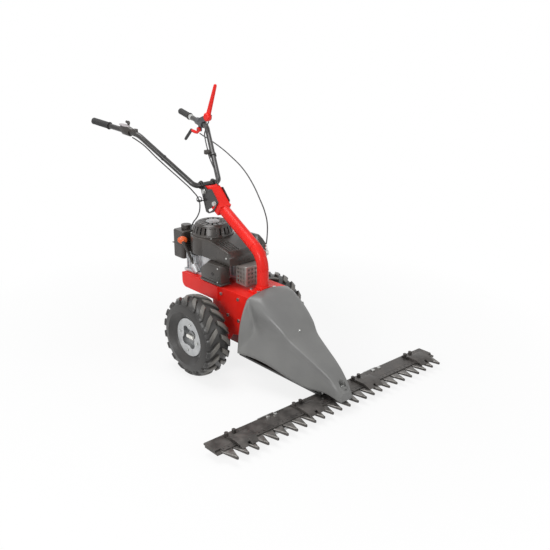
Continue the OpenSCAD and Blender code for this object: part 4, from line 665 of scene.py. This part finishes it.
def egg(bm, centre, half, along):
    """Adds an ellipsoid with its three half lengths; the first of them lies along a direction."""
    ball = bmesh.new()
    bmesh.ops.create_uvsphere(ball, u_segments=32, v_segments=16, radius=mm)
    bmesh.ops.scale(ball, vec=half, verts=ball.verts)
    turn = Vector(along).to_track_quat("X", "Z").to_matrix()
    bmesh.ops.rotate(ball, verts=ball.verts, cent=(0, 0, 0), matrix=turn)
    bmesh.ops.translate(ball, verts=ball.verts, vec=on_machine(centre))
    join(bm, ball)


oil_foot, oil_top = Vector((-98, 230, 445)), Vector((-118, 282, 550))
oil_axis = (oil_top - oil_foot).normalized()
tube_bm = bmesh.new()
turned(tube_bm, [(4.5, -2), (7, -2), (7, 98), (10, 103), (10, 118.8), (4.5, 118.8), (4.5, -2)],
       oil_foot, oil_axis)
dress(new_piece("oil_tube", tube_bm), black_moulding, "chassis", "black_moulding", "oil_filler_tube")
orange_cap = new_finish("orange_moulding", "#e8662c", Roughness=0.36)
patches(orange_cap, "#ea6a30", "#dd5a22", 15 * mm)
cap_bm = bmesh.new()
turned(cap_bm, [(0, -80), (2.5, -80), (2.5, -12), (6, -12), (6, 0.4), (15, 0.4), (15, 4), (13, 6), (0, 6)],
       oil_top, oil_axis, steps=24)
handle_turn = -0.66
egg(cap_bm, oil_top + 7 * oil_axis, (24, 10, 19), (math.cos(handle_turn), math.sin(handle_turn), 0))
dress(new_piece("dipstick_handle", cap_bm), orange_cap, "dipstick", "orange_moulding", "oil_dipstick")

# Filter box: a deep black lid on a flat base, with a sloped corner, a breather hole and two screws.
# It is moulded like the other covers; the breather is a rubber ring and the screws are plated.
lid_x = -132
filter_bm = bmesh.new()
bmesh.ops.create_cube(filter_bm, size=1)
filter_low, filter_high = on_machine((lid_x, -26, 412)), on_machine((-74, 124, 500))
bmesh.ops.scale(filter_bm, vec=filter_high - filter_low, verts=filter_bm.verts)
bmesh.ops.translate(filter_bm, vec=(filter_low + filter_high) / 2, verts=filter_bm.verts)
slope = bmesh.ops.bisect_plane(
    filter_bm, geom=filter_bm.verts[:] + filter_bm.edges[:] + filter_bm.faces[:],
    plane_co=on_machine((lid_x, 70, 500)), plane_no=(-0.35, 0.55, 0.76), clear_outer=True)
cut_edges = [q for q in slope["geom_cut"] if isinstance(q, bmesh.types.BMEdge)]
bmesh.ops.contextual_create(filter_bm, geom=cut_edges)
bmesh.ops.bevel(filter_bm, geom=filter_bm.edges[:], offset=6 * mm, offset_type="OFFSET", affect="EDGES",
                segments=3, profile=0.5, material=-1, clamp_overlap=True)
bmesh.ops.recalc_face_normals(filter_bm, faces=filter_bm.faces)
rounded_box(filter_bm, (-135, -29, 403), (-72, 127, 414), 3)
rounded_box(filter_bm, (-134, -14, 424), (-130, 60, 428), 1.5)
dress(new_piece("filter_box", filter_bm), black_moulding, "chassis", "black_moulding", "air_filter_box")
breather_bm = bmesh.new()
turned(breather_bm, [(7.5, -3), (7.5, 1.5), (5, 1.5), (4.5, -2), (0, -2), (0, -3)],
       (lid_x, 32, 452), (-1, 0, 0), steps=24)
dress(new_piece("filter_breather", breather_bm), boot_rubber, "chassis", "grip_rubber")
filter_screws = bmesh.new()
for place in ((lid_x, -8, 486), (lid_x, -6, 420)):
    screw(filter_screws, place, (-1, 0, 0), 4)
dress(new_piece("filter_screws", filter_screws), zinc, "chassis", "zinc_steel")

# Muffler and guard: a folded sheet steel box behind a perforated guard, both dulled by heat.
# The aluminised sheet is grey with brown bloom.
heated_sheet = new_finish("heated_sheet_steel", "#a39f9b", Roughness=0.45, Metallic=0.6)
gloss_drift(heated_sheet, patches(heated_sheet, "#aaa6a2", "#8d857e", 60 * mm), 0.36, 0.58)
grain(heated_sheet, 3 * mm, 0.08 * mm)
dress(softened("muffler", 2.5 * mm), heated_sheet, "chassis", "sheet_steel", "muffler")
dress(softened("muffler_guard", 0.4 * mm, segments=1),
      heated_sheet, "chassis", "sheet_steel", "muffler_guard")

# Carrier and knife drive: a welded channel that carries the bar, and the rocker that works the knife.
# The carrier is painted black, and the rocker and the knife's head are forged and oiled.
black_paint = new_finish("black_gloss_paint", "#232221", Roughness=0.3, Coat_Weight=0.2)
gloss_drift(black_paint, patches(black_paint, "#201f1e", "#2e2c2b", 80 * mm), 0.24, 0.42)
dress(softened("bar_carrier", 1.2 * mm), black_paint, "chassis", "black_paint", "bar_carrier")
dark_steel = new_finish("blackened_steel", "#4d4a48", Roughness=0.45, Metallic=0.55)
gloss_drift(dark_steel, patches(dark_steel, "#454240", "#605c59", 40 * mm), 0.36, 0.6)
grain(dark_steel, 3 * mm, 0.08 * mm, stretch=(0.3, 1, 1))
for forged, body in (("rocker_arm", "rocker"), ("knife_head", "knife")):
    dress(softened(forged, 1.0 * mm), dark_steel, body, "dark_steel", forged)

# Cutter bar: single fingers on a bar, a back plate and the knife that slides between them.
# The bar and the plate are cut from steel and hardened black, and the skid strips are rubbed bright.
for blade in ("finger_bar", "back_plate"):
    dress(softened(blade, 0.7 * mm), dark_steel, "chassis", "dark_steel", blade)
worn_steel = new_finish("worn_steel", "#a7a8a8", Roughness=0.4, Metallic=0.95)
gloss_drift(worn_steel, patches(worn_steel, "#999a9a", "#b8b8b6", 30 * mm), 0.3, 0.5)
grain(worn_steel, 2 * mm, 0.08 * mm, stretch=(1, 0.15, 1))
dress(softened("skid_shoes", 0.6 * mm), worn_steel, "chassis", "worn_steel", "skid_shoes")

# Knife clips: four forged hold-downs, each bolted to the plate behind the knife.
# A hump goes over the knife's bar, and two rounded toes press on the sections in front of it.
clip_places = (-540, -180, 180, 540)
clip_short, clip_long = 26, 64
toe_places, toe_w = (-24, 26), 36
hump_side = [(-589, 46), (-589, 51), (-617, 51), (-626, 57.5), (-634, 59), (-676, 59), (-688, 56),
             (-694, 52), (-694, 46.9), (-655, 46.9), (-655, 46)]
toe_side = [(-680, 47), (-680, 57.5), (-692, 55), (-703, 49), (-711, 44), (-711, 41.9), (-698, 41.9),
            (-692, 46.9)]


def forged_bar(bm, side, from_x, to_x, radius):
    """Adds a block with an even outline from the side, between two places across the machine."""
    block = bmesh.new()
    face = block.faces.new([block.verts.new(on_machine((from_x, y, z))) for y, z in side])
    moved = bmesh.ops.extrude_face_region(block, geom=[face])["geom"]
    bmesh.ops.translate(block, verts=[v for v in moved if isinstance(v, bmesh.types.BMVert)],
                        vec=((to_x - from_x) * mm, 0, 0))
    bmesh.ops.recalc_face_normals(block, faces=block.faces)
    edges = [e for e in block.edges if e.calc_face_angle() > math.radians(50)]
    bmesh.ops.bevel(block, geom=edges, offset=radius * mm, offset_type="OFFSET", affect="EDGES", segments=3,
                    profile=0.5, material=-1, clamp_overlap=True)
    join(bm, block)


clips_bm = bmesh.new()
for x in clip_places:
    forged_bar(clips_bm, hump_side, x - clip_short, x + clip_long, 1.8)
    for toe in toe_places:
        forged_bar(clips_bm, toe_side, x + toe, x + toe + toe_w, 2.4)
dress(new_piece("knife_clips_forged", clips_bm), dark_steel, "chassis", "dark_steel", "knife_clips")

# Knife: hardened sections riveted under a flat bar, ground to a slant along both cutting edges.
# The ground steel is paler than the bar, and the rivets are countersunk so that they pass under the clips.
ground_steel = new_finish("ground_steel", "#6f6c69", Roughness=0.36, Metallic=0.6)
gloss_drift(ground_steel, patches(ground_steel, "#625f5c", "#7e7b78", 18 * mm), 0.28, 0.46)
grain(ground_steel, 1.5 * mm, 0.05 * mm, stretch=(1, 0.1, 1))
knife_low, knife_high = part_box("knife")
section_t, bar_w, level_gap = 3 * mm, 19 * mm, 0.05 * mm
section_top = knife_low.z + section_t


def cutting_edge(edge):
    """True for the upper edges of the sections ahead of the bar."""
    return all(abs(v.co.z - section_top) < level_gap and v.co.y < knife_high.y - bar_w for v in edge.verts)


def in_section(place):
    """True for a point of the sections, false for one of the bar over them."""
    return place.z < section_top + level_gap


dress(softened("knife", 2.2 * mm, segments=1, choose=cutting_edge, keep=in_section, name="knife_sections"),
      ground_steel, "knife", "dark_steel", "knife")
dress(softened("knife", 0.5 * mm, keep=lambda place: not in_section(place), name="knife_back"),
      dark_steel, "knife", "dark_steel")
rivet_bm = bmesh.new()
tooth_pitch = 50.8
rivet_y, rivet_z = -666.5, 46.3
for i in range(-12, 13):
    for x in (i * tooth_pitch - tooth_pitch / 4, i * tooth_pitch + tooth_pitch / 4):
        turned(rivet_bm, [(0, -0.5), (4.2, -0.5), (4.2, 0.1), (3.4, 0.25), (0, 0.25)],
               (x, rivet_y, rivet_z), steps=12)
# The rivets' heads are coloured dark as painted shade.
rivet_painted_shade = new_finish("rivet_steel_painted_shade", "#211f1e", Roughness=0.5, Metallic=0.3)
patches(rivet_painted_shade, "#1c1a19", "#2b2927", 10 * mm)
dress(new_piece("knife_rivets", rivet_bm), rivet_painted_shade, "knife", "dark_steel")

# Bolts: plated hexagon bolts hold the machine together, and black studs clamp the knife's clips.
# The bolts are cold headed and zinc plated; the studs are blackened like the clips.
stud_reach = 30.7
stud_front, stud_rear = -0.66, -0.625


def on_clip(place):
    """True for a point of the studs that hold the knife's clips."""
    nearest = min(abs(place.x / mm - x) for x in clip_places)
    return stud_front < place.y < stud_rear and nearest < stud_reach


dress(softened("machine_bolts", 0.5 * mm, keep=lambda place: not on_clip(place)),
      zinc, "chassis", "zinc_steel", "machine_bolts")
dress(softened("machine_bolts", 0.8 * mm, keep=on_clip, name="clip_studs"),
      dark_steel, "chassis", "dark_steel")

# Nose cover: one thin shell over the knife drive, moulded in grey plastic.
# A flat panel on each side of its rear edge meets the broad top in a knee; a ridge runs from there
# to the nose, where a bolt in a round recess holds the cover to its tongue.
grey_moulding = new_finish("grey_moulding", "#717170", Roughness=0.46)
gloss_drift(grey_moulding, patches(grey_moulding, "#6f6f6e", "#787876", 160 * mm), 0.33, 0.46)
grain(grey_moulding, 3 * mm, 0.05 * mm)
# Sections from the rear edge forward: share of the length, height of the middle, then half width
# and height of the top's rounding, of the ridge's upper side, middle and lower side and of the edge.
cover_sections = [
    (0, 418, 110, 402, 130, 387, 168, 290, 185, 168, 186, 150),
    (5.5, 409, 110, 397, 126, 325, 147, 272, 155, 206, 178, 149.5),
    (11, 398, 109, 388, 121, 272, 125, 254, 134, 231, 170, 149),
    (21, 371, 106, 361, 113, 284, 117, 252, 126, 221, 156, 144),
    (31, 340, 98, 330, 104, 270, 108, 238, 116, 206, 142, 133),
    (40, 305, 88, 296, 95, 250, 99, 221, 107, 190, 129, 118),
    (48, 265, 74, 257, 85, 228, 89, 207, 98, 174, 117, 103),
    (63, 222, 61, 215, 68, 188, 72, 169, 79, 142, 95, 80),
    (74, 192, 53, 186, 58, 160, 61, 144, 66, 122, 76, 74),
    (85, 159, 42, 154, 48, 135, 51, 121, 55, 104, 60, 76),
    (94, 121, 30, 117, 39, 107, 42, 98, 45, 85, 49, 65),
    (100, 88, 18, 86, 27, 77, 30, 73, 32, 67, 36, 50)]
cover_rear = -212.3
cover_front = -720


def eased(points, at):
    """A point on a smooth line through a row of points; at counts from 0 to the last of them."""
    i = min(int(at), len(points) - 2)
    t = at - i
    a, b = points[i], points[i + 1]
    step = (b - a).length
    lead = (b - points[max(i - 1, 0)]).normalized() * step
    trail = (points[min(i + 2, len(points) - 1)] - a).normalized() * step
    return (a * (2 * t ** 3 - 3 * t ** 2 + 1) + lead * (t ** 3 - 2 * t ** 2 + t)
            + b * (3 * t ** 2 - 2 * t ** 3) + trail * (t ** 3 - t ** 2))


def cover_ring(row):
    """The section's points from the right lower edge over the top to the left one."""
    y = cover_rear + (cover_front - cover_rear) * row[0] / 100
    half = [(row[k], y, row[k + 1]) for k in (10, 8, 6, 4, 2)]
    return [on_machine((-x, y, z)) for x, y, z in half] + [on_machine((0, y, row[1]))] + [
        on_machine((x, y, z)) for x, y, z in reversed(half)]


rings = [cover_ring(row) for row in cover_sections]
rails = list(zip(*rings))
long_steps, round_steps = 66, 60
cover_bm = bmesh.new()
bmesh.ops.create_grid(cover_bm, x_segments=long_steps, y_segments=round_steps, size=0.5)
ring_at = {}
for v in cover_bm.verts:
    along = round((v.co.x + 0.5) * long_steps) / long_steps * (len(rings) - 1)
    around = round((v.co.y + 0.5) * round_steps) / round_steps * (len(rails) - 1)
    if along not in ring_at:
        ring_at[along] = [eased(rail, along) for rail in rails]
    v.co = eased(ring_at[along], around)
# The nose is closed by a flat end with a rounded edge.
front_y = min(v.co.y for v in cover_bm.verts)
front_edge = [e for e in cover_bm.edges
              if e.is_boundary and all(v.co.y < front_y + merge_gap for v in e.verts)]
front_row = sorted({v for e in front_edge for v in e.verts}, key=lambda v: v.co.x)
ends = [v for v in front_row if sum(e in front_edge for e in v.link_edges) == 1]
closing = cover_bm.edges.new(ends)
bmesh.ops.contextual_create(cover_bm, geom=front_edge + [closing])
bmesh.ops.bevel(cover_bm, geom=front_edge, offset=9 * mm, offset_type="OFFSET", affect="EDGES", segments=4,
                profile=0.5, material=-1, clamp_overlap=True)
bmesh.ops.recalc_face_normals(cover_bm, faces=cover_bm.faces)
if sum(f.normal.z * f.calc_area() for f in cover_bm.faces) < 0:
    bmesh.ops.reverse_faces(cover_bm, faces=cover_bm.faces)
cover_skin = BVHTree.FromBMesh(cover_bm)
cover = new_piece("nose_cover_moulded", cover_bm, smooth=50)
skin = cover.modifiers.new("skin", "SOLIDIFY")
skin.thickness = 3 * mm
skin.offset = -1

# The recess is a round cup let into the nose: the skin is cut open over it and the cup's wall rises
# to the skin all round, with a lip where the nose falls away in front.
recess_y, recess_r, lip_z = -692, 20, 111
cup_foot, cup_floor, bolt_r = 100, 104, 5.3
hole_low, hole_high = 60, 200
hole_bm = bmesh.new()
turned(hole_bm, [(0, hole_low), (recess_r - 1, hole_low), (recess_r - 1, hole_high), (0, hole_high)],
       (0, recess_y, 0), steps=48)
hole = new_piece("hole", hole_bm)
opening = cover.modifiers.new("opening", "BOOLEAN")
opening.operation = "DIFFERENCE"
opening.object = hole
bpy.context.view_layer.update()
opened = bpy.data.meshes.new_from_object(cover.evaluated_get(bpy.context.evaluated_depsgraph_get()))
cover.modifiers.clear()
cover.data = opened
opened.name = cover.name
bpy.data.objects.remove(hole)
dress(cover, grey_moulding, "chassis", "grey_moulding", "nose_cover")


def skin_height(x, y):
    """The height of the cover's skin over a place, in millimetres."""
    well_above = 500
    found = cover_skin.ray_cast(on_machine((x, y, well_above)), Vector((0, 0, -1)))[0]
    return found.z / mm if found else 0


cup_bm = bmesh.new()
turned(cup_bm, [(recess_r, cup_foot), (recess_r, lip_z), (recess_r - 1, lip_z + 1),
                (recess_r - 2.5, lip_z + 1), (recess_r - 3.5, lip_z), (recess_r - 4, cup_floor),
                (bolt_r, cup_floor), (bolt_r, cup_foot), (recess_r, cup_foot)], (0, recess_y, 0), steps=48)
for v in cup_bm.verts:
    if v.co.z > (lip_z - 0.5) * mm:
        v.co.z = max(v.co.z, (skin_height(v.co.x / mm, v.co.y / mm - axle_y) - 0.4) * mm)
dress(new_piece("nose_recess", cup_bm), grey_moulding, "chassis", "grey_moulding")
washer_bm = bmesh.new()
turned(washer_bm, [(bolt_r, cup_floor), (13, cup_floor), (13, 105.6), (12, 106.2), (bolt_r, 106.2),
                   (bolt_r, cup_floor)], (0, recess_y, 0))
dress(new_piece("nose_washer", washer_bm), zinc, "chassis", "zinc_steel")
cover_screw = bmesh.new()
screw_x, screw_y = -12, -435
screw(cover_screw, (screw_x, screw_y, skin_height(screw_x, screw_y)), (0, -0.5, 0.87), 5)
dress(new_piece("cover_screw", cover_screw), zinc, "chassis", "zinc_steel")

# Handlebar: a bent steel tube in a folded bracket that tilts on the column's head, painted black.
# Collars hold it, and a clip on each arm leads a cable; all of them have the same black gloss.
dress(softened("handlebar_bracket", 0.8 * mm), black_paint, "handlebar", "black_paint", "handlebar_bracket")
coat_node(black_paint, "handlebar_tube")
dress(softened("tube_clamps", 0.8 * mm), black_paint, "handlebar", "black_paint", "tube_clamps")

# A bent wire loop on the bracket leads the throttle cable, and a moulded block on the left arm leads
# the other two.
loop_bm = bmesh.new()
loop_r, wire_r = 12, 2.2
turned(loop_bm, [(loop_r + wire_r * math.cos(a * math.pi / 6), wire_r * math.sin(a * math.pi / 6))
                 for a in range(13)], (-49, 232, 757), (-0.55, -0.75, 0.35), steps=40)
dress(new_piece("wire_loop", loop_bm), black_paint, "handlebar", "black_paint")
arm_block = bmesh.new()
rounded_box(arm_block, (92, 359, 934), (123, 379, 956), 4)
dress(new_piece("arm_block", arm_block), black_moulding, "handlebar", "black_moulding")

# Grips: two moulded rubber grips pushed over the tube's ends, ribbed across and closed at the end.
# Next to the left grip a short stretch of the tube is bare and bright.
grip_rubber = new_finish("grip_rubber", "#2a2a2a", Roughness=0.6)
gloss_drift(grip_rubber, patches(grip_rubber, "#262626", "#343333", 25 * mm), 0.52, 0.7)
grain(grip_rubber, 2 * mm, 0.1 * mm)
tube_r, arm_top_y = 12.9, 497
grip_axis = {side: Vector((side * 0.1895, 0.9749, 0.1167)).normalized() for side in (-1, 1)}
arm_top = {side: Vector((side * 202, arm_top_y, 1048)) for side in (-1, 1)}
grip_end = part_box("handle_grips")[1]
grip_run = (grip_end.y / mm - axle_y - arm_top_y - 2) / grip_axis[1].y
grip_l, grip_r = 120, 16.2
ribs = [(grip_r + lift, start + shift) for start in range(10, 108, 7)
        for lift, shift in ((-1.2, 0), (0, 1), (0, 4), (-1.2, 5))]
grips_bm = bmesh.new()
for side in (-1, 1):
    foot = arm_top[side] + (grip_run - grip_l) * grip_axis[side]
    turned(grips_bm, [(tube_r, 0), (18, 0), (18.6, 1), (18.6, 4), (17.5, 5), (grip_r - 1.2, 6)] + ribs
           + [(grip_r + 0.4, 116), (grip_r - 0.5, 118.5), (grip_r - 3, 120), (0, 120)], foot, grip_axis[side])
dress(new_piece("grips", grips_bm), grip_rubber, "handlebar", "grip_rubber", "handle_grips")
sleeve_bm = bmesh.new()
turned(sleeve_bm, [(tube_r, -34), (14.2, -34), (14.2, -0.5), (tube_r, -0.5), (tube_r, -34)],
       arm_top[1] + (grip_run - grip_l) * grip_axis[1], grip_axis[1])
dress(new_piece("bare_sleeve", sleeve_bm), zinc, "handlebar", "zinc_steel")

# Throttle: a long low housing on the right arm, and a thumb lever that turns on its side.
# The housing is moulded black; a thin pale grey shell on its top is a painted highlight.
housing_bm = bmesh.new()
egg(housing_bm, arm_top[-1] + 78 * grip_axis[-1] + Vector((0, 0, 7)), (56, 17, 20), grip_axis[-1])
turned(housing_bm, [(tube_r, 50), (19, 50), (19.7, 52), (19.7, 96), (19, 98), (tube_r, 98), (tube_r, 50)],
       arm_top[-1], grip_axis[-1])
rounded_box(housing_bm, (-216, 508, 1050), (-194, 534, 1074), 4)
dress(new_piece("throttle_housing", housing_bm),
      black_moulding, "handlebar", "black_moulding", "throttle_body")
# The pale grey shell on the housing's top is a painted highlight.
painted_highlight_grey = new_finish("throttle_top_painted_highlight", "#a8a2a4", Roughness=0.4)
patches(painted_highlight_grey, "#aea8aa", "#989294", 30 * mm)
highlight_shell_bm = bmesh.new()
egg(highlight_shell_bm, arm_top[-1] + 94 * grip_axis[-1] + Vector((0, 0, 25)), (36, 15, 6), grip_axis[-1])
dress(new_piece("throttle_top_highlight", highlight_shell_bm), painted_highlight_grey, "handlebar", "grey_moulding")
thumb_bm = bmesh.new()
turned(thumb_bm, [(0, 0), (9, 0), (10, 1), (10, 6), (9, 7), (0, 7)], (-211.4, 570.1, 1096.8), (1, 0, 0))
rounded_box(thumb_bm, (-211, 572, 1093), (-205, 590, 1101), 2.5)
egg(thumb_bm, (-208, 586, 1100), (7, 6, 7), (0, 1, 0))
rounded_box(thumb_bm, (-212, 564, 1072), (-205, 576, 1096), 2)
dress(new_piece("thumb_lever", thumb_bm), black_moulding, "throttle", "black_moulding", "throttle_lever")

# Clutch levers: a moulded block on the left arm carries a long red lever for the blade, with a thick
# eight-sided hub, and a short bent lever for the drive, red with a black sleeve.
block_grey = new_finish("dark_grey_moulding", "#3d3e43", Roughness=0.4)
patches(block_grey, "#393a3e", "#47484d", 30 * mm)
dress(softened("lever_block", 1.5 * mm), block_grey, "handlebar", "black_moulding", "lever_block")
dress(softened("blade_lever", 2.0 * mm), red_coat, "blade_control", "red_paint", "blade_lever")
hub_bm = bmesh.new()
turned(hub_bm, [(0, -13), (18, -13), (23, -8), (23, 8), (18, 13), (0, 13)],
       (188, 468, 1098), (1, 0, 0), steps=8)
dress(new_piece("blade_hub", hub_bm, smooth=20), red_coat, "blade_control", "red_paint")
drive_pivot, drive_low = Vector((210, 577, 1020)), Vector((211, 592, 1001))
drive_knee, drive_tip = Vector((212, 646, 1008)), Vector((214, 702, 955))
elbow_bm = bmesh.new()
turned(elbow_bm, [(3.6, -6), (11, -6), (12.5, -4.5), (12.5, 4.5), (11, 6), (3.6, 6), (3.6, -6)], drive_pivot,
       (1, 0, 0), steps=24)
for near, far in ((drive_pivot, drive_low), (drive_low, drive_knee)):
    egg(elbow_bm, near.lerp(far, 0.5), ((far - near).length / 2 + 6, 7.5, 8.5), far - near)
dress(new_piece("drive_elbow", elbow_bm), red_coat, "drive_control", "red_paint", "drive_lever")
sleeve_run = (drive_tip - drive_knee).length
black_sleeve = bmesh.new()
turned(black_sleeve, [(0, -6), (6.5, -6), (8, -4), (8, sleeve_run - 4), (6.5, sleeve_run + 3),
                      (3, sleeve_run + 6), (0, sleeve_run + 6)], drive_knee, drive_tip - drive_knee)
dress(new_piece("drive_sleeve", black_sleeve), grip_rubber, "drive_control", "grip_rubber")

# Size: the finished model's box, from its lowest to its highest corner in metres.
low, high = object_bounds()
